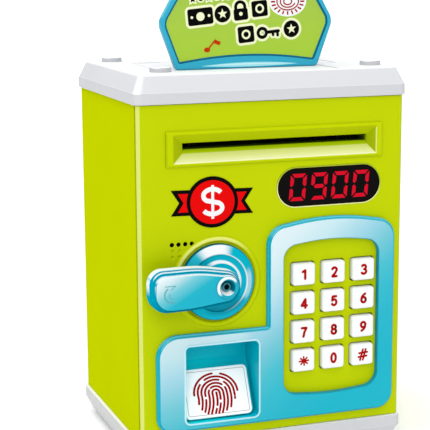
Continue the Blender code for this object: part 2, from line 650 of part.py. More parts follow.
def build_latch_cam(knob):
    """Latch arm, up and to the left at rest; the hub's notch takes the lock plunger."""
    arm, arm_half = 150.0, 3.4
    notch_from, notch_to = 222.0, 288.0
    side = math.degrees(math.asin(arm_half / CAM_HUB_R))
    pts = arc(0, 0, CAM_HUB_R, notch_to, 360 + arm - side, 20)
    along = Vector((math.cos(math.radians(arm)), math.sin(math.radians(arm))))
    across = Vector((-along.y, along.x))
    for reach, side_shift in ((CAM_REACH - 2, -arm_half), (CAM_REACH, -arm_half + 2),
                              (CAM_REACH, arm_half - 2), (CAM_REACH - 2, arm_half)):
        tip = along * reach + across * side_shift
        pts.append((tip.x, tip.y))
    pts += arc(0, 0, CAM_HUB_R, arm + side, notch_from, 6)
    pts += arc(0, 0, CAM_NOTCH_R, notch_from, notch_to, 8)
    pts = [(KNOB_X + x, KNOB_Z + z) for x, z in pts]
    cam = finish(along_y(pts, CAM_Y0, CAM_Y1), "latch_cam", STEEL, 0.3, 1.0,
                 origin=(KNOB_X, CAM_Y0, KNOB_Z), parent=knob)
    shape(cam, [rod_y(KNOB_X, KNOB_Z, 2.5, CAM_Y0 - 1, CAM_Y1 + 1, 28)])


def build_lock(door):
    """Solenoid under the cam; its plunger rises 3 mm into the cam's notch."""
    y = (CAM_Y0 + CAM_Y1) / 2
    z_top = KNOB_Z - 14.5
    body = finish(block(KNOB_X - 8, KNOB_X + 8, COVER_BACK + 0.3, y + 6, z_top - 22, z_top),
                  "solenoid", STEEL, 0.35, 0.8, parent=door)
    bore = rod_z(KNOB_X, y, PLUNGER_R + 0.1, z_top - 17, z_top + 1, 24)
    shape(body, [bore])
    z_rod = KNOB_Z - CAM_HUB_R - 0.6
    finish(rod_z(KNOB_X, y, PLUNGER_R, z_top - 15.5, z_rod, 24), "lock_plunger", STEEL, 0.2, 1.0,
           origin=(KNOB_X, y, z_top), parent=door)


# ---------------------------------------------------------------- bill feeder

def gear_points(cy, cz, phase):
    pts = []
    for i in range(GEAR_TEETH):
        mid = 360.0 * i / GEAR_TEETH + phase
        for r, off in ((GEAR_ROOT, -8.5), (GEAR_TIP, -3.2), (GEAR_TIP, 3.2), (GEAR_ROOT, 8.5)):
            a = math.radians(mid + off)
            pts.append((cy + r * math.cos(a), cz + r * math.sin(a)))
    return pts


def build_roller(door, name, z, phase):
    y = ROLL_Y
    profile = [(1.5, -EAR_OUT - 0.8), (1.5, ROLL_X0), (ROLL_R, ROLL_X0), (ROLL_R, ROLL_X1), (1.5, ROLL_X1),
               (1.5, EAR_OUT + 2.0)]
    roller = finish(turned_x(y, z, profile, 24), name, GREY, 0.6, origin=(0, y, z), parent=door)
    shape(roller, [along_x(gear_points(y, z, phase), EAR_OUT + 0.8, EAR_OUT + 4.4)], "UNION")


def build_feeder(door):
    half = GEAR_SPAN / 2
    z_up, z_low = SLOT_Z + half, SLOT_Z - half
    z_motor = z_low - GEAR_SPAN
    build_roller(door, "feed_roller_upper", z_up, 15.0)
    build_roller(door, "feed_roller_lower", z_low, 0.0)
    pinion = finish(along_x(gear_points(ROLL_Y, z_motor, 15.0), EAR_OUT + 0.8, EAR_OUT + 4.4), "motor_pinion",
                    WHITE, 0.4, origin=(EAR_OUT, ROLL_Y, z_motor), parent=door)
    shape(pinion, [rod_x(ROLL_Y, z_motor, 1.0, EAR_OUT - 0.2, EAR_OUT + 3.0, 16)], "DIFFERENCE")
    motor = [(6.0, 12.0), (6.0, EAR_IN - 0.2), (2.2, EAR_IN - 0.2), (2.2, EAR_OUT + 0.2), (0.9, EAR_OUT + 0.2),
             (0.9, EAR_OUT + 2.8)]
    finish(turned_x(ROLL_Y, z_motor, motor, 24), "feed_motor", STEEL, 0.3, 0.9, parent=door)
    z_foot = z_motor - 9.0
    side = [(DOOR_BACK + 0.3, DISP_Z + 11), (DOOR_BACK + 0.3, z_up + 7), (ROLL_Y + 6.4, z_up + 7),
            (ROLL_Y + 6.4, z_foot), (ROLL_Y - 6.4, z_foot), (ROLL_Y - 6.4, DISP_Z + 11)]
    frame = finish(along_x(side, -EAR_OUT, EAR_OUT), "feeder_frame", DARK, 0.5, parent=door)
    cuts = [block(-EAR_IN, EAR_IN, DOOR_BACK - 1, ROLL_Y + 8, z_foot + 1.6, z_up + 9)]
    cuts.append(block(-50, 50, DOOR_BACK - 1, DUCT_END + 0.4, SLOT_Z - 5, SLOT_Z + 5))
    for z, r in ((z_up, 1.58), (z_low, 1.58), (z_motor, 2.4)):
        cuts.append(rod_x(ROLL_Y, z, r, -EAR_OUT - 1, EAR_OUT + 1, 24))
    shape(frame, cuts)


def main():
    clear_scene()
    build_rear_shell()
    build_top_cap()
    build_base_tray()
    build_feet()
    build_hinge_pins()
    build_keeper()
    build_coin_slot_trim()
    build_sign()

    door = axis_empty("door_axis", (HINGE_X, HINGE_Y, Z0))
    build_door_panel(door)
    build_slot_bezel(door)
    build_display(door)
    build_badge(door)
    build_bezel_trim(door)
    build_fingerprint_pad(door)
    build_keys(door)
    build_keypad_works(door)
    build_speaker(door)
    build_inner_cover(door)
    build_batteries(door)
    build_cover_screws(door)
    build_dial(door)
    build_lock(door)
    build_feeder(door)
    build_knob(door)
    build_latch_cam(door)


main()
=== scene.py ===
"""Looks of the toy savings bank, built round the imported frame.

Lengths are millimetres from the middle of the cabinet; at() turns them into metres of the frame.
"""
import math

import bmesh
import bpy
from mathutils import Matrix, Vector


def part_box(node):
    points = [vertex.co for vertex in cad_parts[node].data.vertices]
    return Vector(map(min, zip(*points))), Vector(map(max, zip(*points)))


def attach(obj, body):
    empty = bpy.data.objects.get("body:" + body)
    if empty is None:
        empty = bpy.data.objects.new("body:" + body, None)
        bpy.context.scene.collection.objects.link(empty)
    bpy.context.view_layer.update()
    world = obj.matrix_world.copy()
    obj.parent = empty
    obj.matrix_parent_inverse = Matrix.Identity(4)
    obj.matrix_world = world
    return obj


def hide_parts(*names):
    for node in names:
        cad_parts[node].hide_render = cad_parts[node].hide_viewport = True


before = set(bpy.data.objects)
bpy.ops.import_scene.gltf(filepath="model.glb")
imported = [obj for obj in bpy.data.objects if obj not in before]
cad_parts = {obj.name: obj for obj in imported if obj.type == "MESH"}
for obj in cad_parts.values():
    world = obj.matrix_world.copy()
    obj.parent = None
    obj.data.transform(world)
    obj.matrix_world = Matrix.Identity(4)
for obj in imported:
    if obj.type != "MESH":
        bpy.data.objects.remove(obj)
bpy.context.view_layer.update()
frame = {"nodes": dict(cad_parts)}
nodes = frame["nodes"]

MM = 0.001


def node_box(name):
    low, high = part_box(name)
    return Vector(low) / MM, Vector(high) / MM


door_low, door_high = node_box("door_panel")

BACK = 50.0                        # outer face of the rear wall
BARREL = 3.4                       # radius of the hinge barrel, and the door's thickness
GAP = 0.3                          # between the door and the cap or the base
MOUTH_RISE = 1.2                   # how far the coin slot's rim stands up from the cap
OVERHANG = 1.3                     # how far the cap and the base stand out from the body
SHIFT = node_box("rear_shell")[1].y - BACK      # the cabinet's middle sits behind the origin
HALF_W = door_high.x
FRONT = door_low.y - SHIFT
DOOR_BACK = FRONT + BARREL
Z0, Z1 = door_low.z - GAP, door_high.z + GAP    # lower and upper edge of the body
CAP_TOP = node_box("coin_slot_trim")[1].z - MOUTH_RISE
HINGE_X, HINGE_Y = HALF_W - BARREL, DOOR_BACK
KEY_X, KEY_Z, KEY_PX, KEY_PZ = 29.2, Z0 + 53.2, 15.2, 13.85
KEY_W, KEY_H = 11.4, 10.5
KNOB_X, KNOB_Z = -28.2, Z0 + 73.7
SLOT_X, SLOT_Z = 1.0, Z0 + 135.2
DISP_X, DISP_Z, DISP_W, DISP_H = 27.3, Z0 + 114.7, 52.0, 18.4
BADGE_X, BADGE_Z, BADGE_R = -30.1, Z0 + 111.0, 11.7
POCKET_L, POCKET_R, POCKET_B, POCKET_T = -44.4, -8.8, Z0 + 8.4, Z0 + 44.9
KEY_NAMES = ["key_" + sign for sign in "1 2 3 4 5 6 7 8 9 star 0 hash".split()]


def at(x, y, z):
    return Vector((x, y + SHIFT, z)) * MM


# ---- outlines, in the plane of the front (x, z)

def arc(cx, cz, r, a0, a1, steps):
    angles = [math.radians(a0 + (a1 - a0) * i / steps) for i in range(steps + 1)]
    return [(cx + r * math.cos(a), cz + r * math.sin(a)) for a in angles]


def circle(cx, cz, r, steps=48):
    return arc(cx, cz, r, 0, 360, steps)[:-1]


def rounded(x0, x1, z0, z1, r, steps=8):
    pts = arc(x1 - r, z0 + r, r, -90, 0, steps) + arc(x1 - r, z1 - r, r, 0, 90, steps)
    return pts + arc(x0 + r, z1 - r, r, 90, 180, steps) + arc(x0 + r, z0 + r, r, 180, 270, steps)


def centred(cx, cz, w, h, r, steps=8):
    """rounded() from its middle and half sizes."""
    return rounded(cx - w, cx + w, cz - h, cz + h, r, steps)


def quarter(r, angles, side=1):
    """(inset, depth) pairs of a rounded edge of radius r; side -1 widens instead."""
    return [(side * r * (1 - math.cos(a)), r * (1 - math.sin(a))) for a in angles]


def fillet(corners, steps=8):
    """Anticlockwise outline from (x, z, radius) corners, each turned into a tangent arc."""
    pts = []
    for i, (x, z, r) in enumerate(corners):
        here = Vector((x, z))
        to_last = (Vector(corners[i - 1][:2]) - here).normalized()
        to_next = (Vector(corners[(i + 1) % len(corners)][:2]) - here).normalized()
        half = to_last.angle(to_next) / 2
        reach = r / math.tan(half)
        centre = here + (to_last + to_next).normalized() * (r / math.sin(half))
        start, end = here + to_last * reach - centre, here + to_next * reach - centre
        a0 = math.degrees(math.atan2(start.y, start.x))
        turn = math.degrees(math.atan2(start.x * end.y - start.y * end.x, start.dot(end)))
        pts += arc(centre.x, centre.y, r, a0, a0 + turn, steps)
    return pts


def oval(cx, cz, rx, rz, a0, a1, steps=16):
    return [(cx + rx * x, cz + rz * z) for x, z in arc(0, 0, 1, a0, a1, steps)]


def inset(points, distance):
    """Move an anticlockwise outline inwards by its corner normals."""
    if abs(distance) < 1e-9:
        return list(points)
    moved = []
    count = len(points)
    for i, (x, z) in enumerate(points):
        before = Vector((x, z)) - Vector(points[i - 1])
        after = Vector(points[(i + 1) % count]) - Vector((x, z))
        if before.length < 1e-9 or after.length < 1e-9:
            before = after = before if before.length > after.length else after
        n0, n1 = Vector((-before.y, before.x)).normalized(), Vector((-after.y, after.x)).normalized()
        bisector = n0 + n1
        scale = 2.0 / max(bisector.length_squared, 1.0)
        moved.append((x + bisector.x * scale * distance, z + bisector.y * scale * distance))
    return moved


def raised(base, pairs, grow=0.0):
    """A profile's (distance, height) pairs, counted from grow and from base."""
    return [(grow + distance, base + height) for distance, height in pairs]


# ---- mesh tools

def loft(rings, closed=False):
    bm = bmesh.new()
    loops = [[bm.verts.new(p) for p in ring] for ring in rings]
    pairs = list(zip(loops, loops[1:]))
    if closed:
        pairs.append((loops[-1], loops[0]))
    for low, high in pairs:
        for i in range(len(low)):
            j = (i + 1) % len(low)
            bm.faces.new((low[i], low[j], high[j], high[i]))
    if not closed:
        bm.faces.new(loops[0])
        bm.faces.new(loops[-1])
    return bm


def plate(outline, profile, closed=False):
    """Outline in the front's plane, swept through (inset, y) pairs."""
    return loft([[at(x, y, z) for x, z in inset(outline, d)] for d, y in profile], closed)


def upright(outline, profile, closed=False):
    """Outline in the floor's plane, swept through (inset, z) pairs."""
    return loft([[at(x, y, z) for x, y in inset(outline, d)] for d, z in profile], closed)


def slab(outline, y0, y1):
    return plate(outline, [(0.0, y0), (0.0, y1)])


def column(outline, z0, z1):
    return upright(outline, [(0.0, z0), (0.0, z1)])


def turned(cx, cz, profile, steps=96, closed=True):
    """(radius, y) profile swept round an axis that points out of the door."""
    turns = [2 * math.pi * i / steps for i in range(steps)]
    rings = [[at(cx + r * math.cos(a), y, cz + r * math.sin(a)) for a in turns] for r, y in profile]
    return loft(rings, closed)


def turned_z(cx, cy, profile, steps=48, closed=False):
    """(radius, z) profile swept round an upright axis."""
    turns = [2 * math.pi * i / steps for i in range(steps)]
    rings = [[at(cx + r * math.cos(a), cy + r * math.sin(a), z) for a in turns] for r, z in profile]
    return loft(rings, closed)


def stroke(points, width, y0, y1, place=at, blunt=False):
    """Flat ribbon along a line in the front's plane, with round ends unless blunt."""
    half = width / 2
    pts = [Vector(p) for p in points]
    left, right = [], []
    for i, p in enumerate(pts):
        ahead = (pts[min(i + 1, len(pts) - 1)] - pts[max(i - 1, 0)]).normalized()
        side = Vector((-ahead.y, ahead.x)) * half
        left.append(p + side)
        right.append(p - side)
    start = (pts[0] - pts[1]).normalized() * half
    end = (pts[-1] - pts[-2]).normalized() * half
    tip = [left[-1].lerp(right[-1], 0.25) + end * 0.8, left[-1].lerp(right[-1], 0.75) + end * 0.8]
    tail = [right[0].lerp(left[0], 0.25) + start * 0.8, right[0].lerp(left[0], 0.75) + start * 0.8]
    outline = left + right[::-1] if blunt else left + tip + right[::-1] + tail
    return loft([[place(x, y, z) for x, z in outline] for y in (y1, y0)])


def joined(meshes):
    """Several meshes as one."""
    out = bmesh.new()
    for bm in meshes:
        mesh = bpy.data.meshes.new("part")
        bm.to_mesh(mesh)
        bm.free()
        out.from_mesh(mesh)
        bpy.data.meshes.remove(mesh)
    return out


def as_object(bm, name):
    bmesh.ops.recalc_face_normals(bm, faces=bm.faces)
    mesh = bpy.data.meshes.new(name)
    bm.to_mesh(mesh)
    bm.free()
    obj = bpy.data.objects.new(name, mesh)
    bpy.context.collection.objects.link(obj)
    return obj


def carved(body, cutters, operation="DIFFERENCE"):
    """Boolean a list of meshes, which may not touch each other, into a mesh."""
    target, tool = as_object(body, "target"), as_object(joined(cutters), "tool")
    mod = target.modifiers.new("bool", "BOOLEAN")
    mod.operation, mod.solver, mod.object = operation, "EXACT", tool
    graph = bpy.context.evaluated_depsgraph_get()
    out = bmesh.new()
    out.from_object(target, graph)
    for obj in (target, tool):
        bpy.data.objects.remove(obj, do_unlink=True)
    return out


def piece(bm, name, look, body, slot, stands_for=None, crease=32.0, bevel=0.0):
    """Finish a mesh as a named piece: creases, its look and the body it moves with. The slot argument is
    not used.
    """
    bmesh.ops.remove_doubles(bm, verts=bm.verts, dist=2e-7)
    bmesh.ops.recalc_face_normals(bm, faces=bm.faces)
    limit = math.radians(crease)
    for edge in bm.edges:
        edge.smooth = len(edge.link_faces) == 2 and edge.calc_face_angle(0.0) < limit
    for face in bm.faces:
        face.smooth = True
    obj = as_object(bm, name)
    if bevel:
        soften(obj, bevel)
    normals = obj.modifiers.new("normals", "WEIGHTED_NORMAL")
    normals.keep_sharp = True
    obj.data.materials.append(LOOK[look])
    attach(obj, body)
    if stands_for:
        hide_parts(stands_for)
    return obj


def refinish(obj, looks, pick):
    """Add looks to a piece; pick chooses each face's from its place and normal, 0 being the piece's own."""
    for look in looks:
        obj.data.materials.append(LOOK[look])
    for face in obj.data.polygons:
        x, y, z = face.center.x / MM, face.center.y / MM - SHIFT, face.center.z / MM
        face.material_index = pick(x, y, z, face.normal)


def soften(obj, width, segments=2):
    mod = obj.modifiers.new("edges", "BEVEL")
    mod.width, mod.segments = width * MM, segments
    mod.limit_method, mod.angle_limit = "ANGLE", math.radians(35)
    mod.use_clamp_overlap = True


# ---- materials

def srgb(r, g, b):
    def linear(v):
        v /= 255.0
        return v / 12.92 if v <= 0.04045 else ((v + 0.055) / 1.055) ** 2.4
    return (linear(r), linear(g), linear(b), 1.0)


LIGHT = 1.18      # how much of a white surface's colour comes back from the front of the bank
SHEEN = 0.012     # what its gloss adds


def paint(r, g, b):
    """Colour of a surface that is seen as this colour in the studio's light."""
    return tuple(min(1.0, max(0.0, (c - SHEEN) / LIGHT)) for c in srgb(r, g, b)[:3]) + (1.0,)


def shade(colour):
    """A shader colour; three numbers from 0 to 255 are one as seen in the studio."""
    return paint(*colour) if len(colour) == 3 else colour


def scaled(colour, k):
    return tuple(min(1.0, c * k) for c in colour[:3]) + (1.0,)


class Value:
    """A shader socket that can be added, multiplied and stepped like a number."""

    def __init__(self, nodes, socket):
        self.nodes, self.socket = nodes, socket

    def math(self, operation, *others):
        node = self.nodes.add("ShaderNodeMath", operation=operation)
        for socket, value in zip(node.inputs, (self,) + others):
            self.nodes.feed(value, socket)
        return Value(self.nodes, node.outputs[0])

    def __add__(self, other):
        return self.math("ADD", other)

    def __sub__(self, other):
        return self.math("SUBTRACT", other)

    def __mul__(self, other):
        return self.math("MULTIPLY", other)

    def __neg__(self):
        return self * -1.0

    def inverse(self):
        return self * -1.0 + 1.0

    def step(self, low, high):
        """0 below low, 1 above high and smooth between; low may be the larger."""
        node = self.nodes.add("ShaderNodeMapRange", interpolation_type="SMOOTHSTEP")
        self.nodes.feed(self, node.inputs["Value"])
        node.inputs["From Min"].default_value = min(low, high)
        node.inputs["From Max"].default_value = max(low, high)
        node.inputs["To Min"].default_value = 0.0 if low < high else 1.0
        node.inputs["To Max"].default_value = 1.0 if low < high else 0.0
        return Value(self.nodes, node.outputs["Result"])

    def window(self, low, high, soft):
        """1 between low and high, fading over soft on both sides."""
        return self.step(low - soft, low) * self.step(high + soft, high)


class Nodes:
    """Short calls for one material's node tree."""

    def __init__(self, name):
        self.mat = bpy.data.materials.new(name)
        self.mat.use_nodes = True
        self.tree = self.mat.node_tree
        self.bsdf = self.tree.nodes["Principled BSDF"]
        self.place = self.add("ShaderNodeTexCoord")

    def add(self, kind, **settings):
        node = self.tree.nodes.new(kind)
        for key, value in settings.items():
            setattr(node, key, value)
        return node

    def feed(self, value, socket):
        """Put a number, a colour, a Value or a socket into an input."""
        if isinstance(value, tuple):
            value = shade(value)
        if isinstance(value, Value):
            value = value.socket
        if isinstance(value, bpy.types.NodeSocket):
            self.tree.links.new(value, socket)
        else:
            socket.default_value = value

    def set(self, **values):
        for key, value in values.items():
            self.feed(value, self.bsdf.inputs[key.replace("_", " ")])

    def axes(self, output, scale=1.0):
        parts = self.add("ShaderNodeSeparateXYZ")
        self.feed(self.place.outputs[output], parts.inputs["Vector"])
        return [Value(self, parts.outputs[axis]) * scale for axis in "XYZ"]

    def spot(self):
        """x and z in millimetres, z from the body's lower edge."""
        x, _, z = self.axes("Object", 1 / MM)
        return x, z - Z0

    def facing(self):
        return self.axes("Normal")

    def noise(self, scale, detail=2.0, stretch=None):
        node = self.add("ShaderNodeTexNoise")
        node.inputs["Scale"].default_value = scale
        node.inputs["Detail"].default_value = detail
        source = self.place.outputs["Object"]
        if stretch:
            mapping = self.add("ShaderNodeMapping")
            mapping.inputs["Scale"].default_value = stretch
            self.feed(source, mapping.inputs["Vector"])
            source = mapping.outputs["Vector"]
        self.feed(source, node.inputs["Vector"])
        return Value(self, node.outputs["Fac"])

    def ramp(self, factor, stops):
        node = self.add("ShaderNodeValToRGB")
        while len(node.color_ramp.elements) < len(stops):
            node.color_ramp.elements.new(0.5)
        for element, (position, colour) in zip(node.color_ramp.elements, stops):
            element.position = position
            element.color = shade(colour)
        self.feed(factor, node.inputs["Fac"])
        return node.outputs["Color"]

    def mix(self, factor, a, b):
        node = self.add("ShaderNodeMix", data_type="RGBA")
        self.feed(factor, node.inputs[0])
        self.feed(a, node.inputs[6])
        self.feed(b, node.inputs[7])
        return node.outputs[2]

    def span(self, factor, low, high):
        return factor * (high - low) + low

    def finish(self, colour, rough=0.3, gloss=0.3, grain=900.0, depth=0.02, drift=0.03):
        """Colour with faint flow marks, uneven roughness and a fine skin texture."""
        flow = self.ramp(self.noise(22.0, 3.0), [(0.3, (1 - drift,) * 3 + (1,)), (0.7, (1, 1, 1, 1))])
        marked = self.add("ShaderNodeMix", data_type="RGBA", blend_type="MULTIPLY")
        self.feed(1.0, marked.inputs[0])
        self.feed(colour, marked.inputs[6])
        self.feed(flow, marked.inputs[7])
        self.set(Base_Color=marked.outputs[2], Specular_IOR_Level=gloss,
                 Roughness=self.span(self.noise(140.0, 4.0), rough * 0.85, rough * 1.15))
        bump = self.add("ShaderNodeBump")
        bump.inputs["Strength"].default_value = 0.35
        bump.inputs["Distance"].default_value = depth * MM
        self.feed(self.noise(grain, 3.0), bump.inputs["Height"])
        self.feed(bump.outputs["Normal"], self.bsdf.inputs["Normal"])
        return self.mat


def plastic(name, colour, rough=0.35, gloss=0.3, **kw):
    return Nodes(name).finish(colour, rough, gloss, **kw)


def metal(name, colour, rough=0.28, stretch=(1, 1, 14)):
    """Plated steel with fine brushing."""
    n = Nodes(name)
    brush = n.noise(900.0, stretch=stretch)
    n.set(Base_Color=n.ramp(n.noise(60.0), [(0.3, scaled(colour, 0.88)), (0.7, colour)]), Metallic=1.0,
          Roughness=n.span(brush, rough * 0.8, rough * 1.3))
    return n.mat


def printed(name, colour, rough=0.4, glow=0.0):
    """Ink: a dense colour with a trace of screen-print mottling."""
    n = Nodes(name)
    if glow:
        n.set(Emission_Color=colour, Emission_Strength=glow)
    return n.finish(colour, rough, 0.05, grain=500.0, depth=0.01, drift=0.06)


# Near white: the reader pad's own colour, and the painted light on the tops of white plastic
BRIGHT = (0.97, 0.97, 0.975, 1.0)


def white_plastic(name, side):
    """White plastic with painted light: pale walls, slopes painted brighter and brighter still where they
    face left, tops painted white and a painted highlight line down the left front corner.
    """
    n = Nodes(name)
    nx, ny, nz = n.facing()
    # painted light on the slopes, stronger on those facing left
    slope_painted_light = n.mix((-nx).step(0.35, 0.6), (233, 234, 238), (248, 249, 253))
    colour = n.mix(nz.step(0.3, 0.55), side, slope_painted_light)
    # painted light: tops that look up are white
    colour = n.mix(nz.step(0.85, 0.97), colour, BRIGHT)
    # painted highlight down the left front corner
    corner = (-nx).step(0.28, 0.42) * (-ny).step(0.28, 0.42) * nz.step(0.1, 0.35)
    return n.finish(n.mix(corner, colour, (255, 255, 255)), 0.4, 0.25)


def lime_plastic(name):
    """Lime with painted light: its sides painted a touch lighter and yellower, and a painted highlight on
    its rounded left front edge.
    """
    n = Nodes(name)
    nx, ny, _ = n.facing()
    x, _ = n.spot()
    # painted highlight on the rounded left front edge
    edge = (-nx).step(0.35, 0.6) * (-ny).step(0.35, 0.6) * x.step(-60.0, -62.5)
    # the sides: painted a touch lighter, and without gloss
    side = nx.math("ABSOLUTE").step(0.6, 0.95)
    colour = n.mix(side, (197, 214, 0), (206, 220, 0))
    return n.finish(n.mix(edge, colour, (222, 231, 122)), 0.4, n.span(side.inverse(), 0.0, 0.04))


def slot_plastic():
    """Lime slot frame with painted light: painted shade on its upper and end slopes, a painted highlight on
    its lower slope, a green strip along its lip and a painted highlight line at its right inner edge.
    """
    n = Nodes("slot_plastic")
    nx, ny, nz = n.facing()
    x, z = n.spot()
    mid, slope = SLOT_Z - Z0, ny.step(-0.93, -0.85)
    # painted shade: the upper slope, then the right and the left end slopes, a darker lime
    colour = n.mix((-nz).step(0.3, 0.6) * slope, (197, 214, 0), (186, 202, 0))
    colour = n.mix(nx.step(0.3, 0.6) * slope, colour, (176, 194, 0))
    colour = n.mix((-nx).step(0.3, 0.6) * slope, colour, (168, 186, 0))
    # painted highlight on the lower slope, palest at its foot
    pale = n.ramp((z - (mid - 6.4)) * 0.25, [(0.0, (252, 252, 210)), (0.16, (238, 243, 176)),
                                                   (0.55, (228, 235, 150)), (1.0, (218, 228, 126))])
    colour = n.mix(nz.step(0.3, 0.6) * slope * z.step(mid - 2.1, mid - 2.4), colour, pale)
    lip = z.window(mid - 2.3, mid - 0.8, 0.1) * nz.step(0.1, 0.3)
    colour = n.mix(lip, colour, (176, 204, 8))
    # painted highlight line along the right inner edge
    edge = x.window(SLOT_X + 49.35, SLOT_X + 49.75, 0.1) * z.window(mid - 6.4, mid + 5.6, 0.3)
    return n.finish(n.mix(edge * 0.7, colour, (238, 242, 170)), 0.4, 0.03)


def bezel_painted_highlight():
    """Painted highlight on the upper left of the bezel and of its reader panel, fading down and right to
    turquoise.
    """
    n = Nodes("bezel_painted_highlight")
    x, z = n.spot()
    keypad = x * 0.83 - z + 96.0
    panel = x * 0.3 - z * 1.15 + 86.6
    join = x.step(-20.0, -10.0)
    fade = keypad * join + panel * join.inverse() + n.noise(40.0) * 4.0 - 2.0
    stops = [(0.0, (228, 243, 250)), (0.1, (219, 240, 246)), (0.23, (197, 231, 239)),
             (0.355, (162, 215, 232)), (0.48, (118, 202, 217)), (0.59, (78, 194, 211)),
             (0.7, (56, 189, 209)), (0.82, (43, 185, 207)), (1.0, (32, 184, 206))]
    return n.finish(n.ramp(fade * (1 / 110.0), stops), 0.22, 0.18)


def pocket_deep():
    """Reader pocket turquoise with painted light: painted brighter to lift its shade, brighter still low
    down at the back on the left, and painted shade on its right wall.
    """
    n = Nodes("turquoise_deep")
    x, z = n.spot()
    nx, _, _ = n.facing()
    # painted light low down at the back on the left, where the walls' shade falls
    low = z.step(POCKET_T - Z0 - 7.0, POCKET_T - Z0 - 14.0) * x.step(POCKET_R - 3.0, POCKET_L + 4.0)
    colour = n.mix(low, (0, 210, 230), (0, 242, 250))
    # painted shade on the right wall
    return n.finish(n.mix((-nx).step(0.5, 0.8), colour, (0, 198, 218)), 0.3, 0.06)


def turquoise_plastic(name, base, bright):
    """Turquoise with a painted highlight line on its small upward bevels and painted shade on faces that
    look down.
    """
    n = Nodes(name)
    nx, _, nz = n.facing()
    # painted highlight on facets that look up
    line = nz.step(0.35, 0.55) * nz.step(0.93, 0.8)
    # painted shade on faces that look down
    colour = n.mix((-nz).step(0.2, 0.6), base, scaled(shade(base), 0.8))
    return n.finish(n.mix(line * bright, colour, (150, 240, 252)), 0.22, 0.2)


def polar(n, cx, cz):
    """Distance from a centre, and the direction from it as a cosine and a sine."""
    x, z = n.spot()
    dx, dz = x - cx, z - (cz - Z0)
    r = (dx * dx + dz * dz).math("SQRT")
    return r, dx.math("DIVIDE", r), dz.math("DIVIDE", r)


def swept(c, s, middle, half, soft):
    """1 within half degrees of a direction, fading over soft degrees."""
    a = math.radians(middle)
    toward = c * math.cos(a) + s * math.sin(a)
    return toward.step(math.cos(math.radians(half + soft)), math.cos(math.radians(half)))


def dial_painted_highlights():
    """Painted highlights on the round plate, a broad one over the top and fine lines down its right, with
    painted shade low down under the lever and along its edge.
    """
    n = Nodes("dial_painted_highlights")
    r, c, s = polar(n, KNOB_X, KNOB_Z)
    colour = (0, 184, 208)
    # painted highlights: inner and outer radius, edge softness, middle direction, half spread, fade and
    # strength of each
    for inner, outer, soft, middle, half, fade, strength in ((13.6, 17.2, 0.35, 97, 12, 22, 1.0),
                                                             (13.25, 13.7, 0.15, 20, 70, 35, 0.85),
                                                             (13.8, 15.6, 0.9, -6, 14, 18, 0.45),
                                                             (9.5, 10.5, 0.25, 60, 46, 22, 1.0),
                                                             (9.2, 10.6, 0.3, 0, 12, 24, 0.9)):
        highlight_mask = r.window(inner, outer, soft) * swept(c, s, middle, half, fade) * strength
        colour = n.mix(highlight_mask, colour, (246, 250, 254))
    # painted shade in a crescent low down, under the lever
    low = r.window(10.0, 14.5, 1.5) * swept(c, s, -75, 25, 25) * 0.55
    colour = n.mix(low, colour, (0, 138, 160))
    # painted shade along the plate's edge
    return n.finish(n.mix(r.step(17.25, 17.6) * 0.9, colour, (0, 84, 98)), 0.2, 0.05)


def ring_painted_highlight():
    """Raised lime ring with a painted highlight over its upper left."""
    n = Nodes("ring_painted_highlight")
    r, c, s = polar(n, KNOB_X, KNOB_Z)
    highlight_mask = r.window(19.5, 20.5, 0.4) * swept(c, s, 122, 48, 40) * 0.85
    return n.finish(n.mix(highlight_mask, (200, 216, 0), (240, 243, 140)), 0.4, 0.04)


def lever_face():
    """Painted highlight at the lever's outer end, fading to turquoise."""
    n = Nodes("lever_face")
    x, z = n.spot()
    fade = (x + 61.5) * 0.0275 - (z - (KNOB_Z - Z0) - 6.0) * 0.047
    stops = [(0.0, (244, 252, 254)), (0.22, (214, 236, 242)), (0.5, (120, 205, 218)), (0.8, (30, 184, 205)),
             (1.0, (0, 180, 205))]
    return n.finish(n.ramp(fade, stops), 0.2, 0.2)


def lever_rim():
    """Turquoise with painted white highlights on the walls that look up or out, and painted shade on those
    that look down.
    """
    n = Nodes("lever_rim")
    x, z = n.spot()
    nx, ny, nz = n.facing()
    kz = KNOB_Z - Z0
    # painted shade on walls that look down
    colour = n.mix((-nz).step(0.2, 0.6), (4, 176, 204), (0, 150, 178))
    # painted highlights on the outer end wall and on walls that look up
    end_wall_highlight = (-nx).step(0.86, 0.98) * z.step(kz - 1.5, kz + 3.5)
    top_wall_highlight = nz.step(0.3, 0.55) * x.step(-19.0, -27.0) * z.step(kz - 3.0, kz + 1.0)
    return n.finish(n.mix(top_wall_highlight.math("MAXIMUM", end_wall_highlight), colour, (244, 253, 255)), 0.3, 0.0)


def lever_boss():
    """Round boss with painted light: a white highlight crescent outside at its upper left, one inside at
    its lower left, and painted shade inside its cup.
    """
    n = Nodes("lever_boss")
    r, c, s = polar(n, KNOB_X, KNOB_Z + 0.4)
    # painted shade inside the cup
    colour = n.mix(r.step(3.6, 3.3), (8, 172, 196), (26, 116, 132))
    # painted highlight crescents outside and inside
    ring = r.window(4.1, 5.0, 0.2) * swept(c, s, 128, 80, 25)
    cup = r.window(1.5, 3.5, 0.2) * swept(c, s, 238, 66, 25)
    return n.finish(n.mix(ring.math("MAXIMUM", cup), colour, (250, 254, 255)), 0.2, 0.2)


def rim_light():
    """The display window's rim: lime above, with a painted highlight along its left end and its lower edge.
    """
    n = Nodes("window_rim")
    x, z = n.spot()
    # painted highlight low on the rim and at its left end
    low = (z + (x - DISP_X) * 0.08).step(DISP_Z - Z0 + 4.0, DISP_Z - Z0 - 5.0)
    return n.finish(n.mix(low, (176, 194, 60), (244, 244, 170)), 0.35, 0.05)


def sign_green():
    """Yellow-green card, lighter towards its lower edge."""
    n = Nodes("sign_green")
    _, z = n.spot()
    low = CAP_TOP - Z0
    colour = n.ramp((z - low) * (1 / 40.0), [(0.05, (176, 214, 66)), (0.4, (172, 208, 72)),
                                             (0.9, (166, 200, 82))])
    return n.finish(colour, 0.4, 0.15)


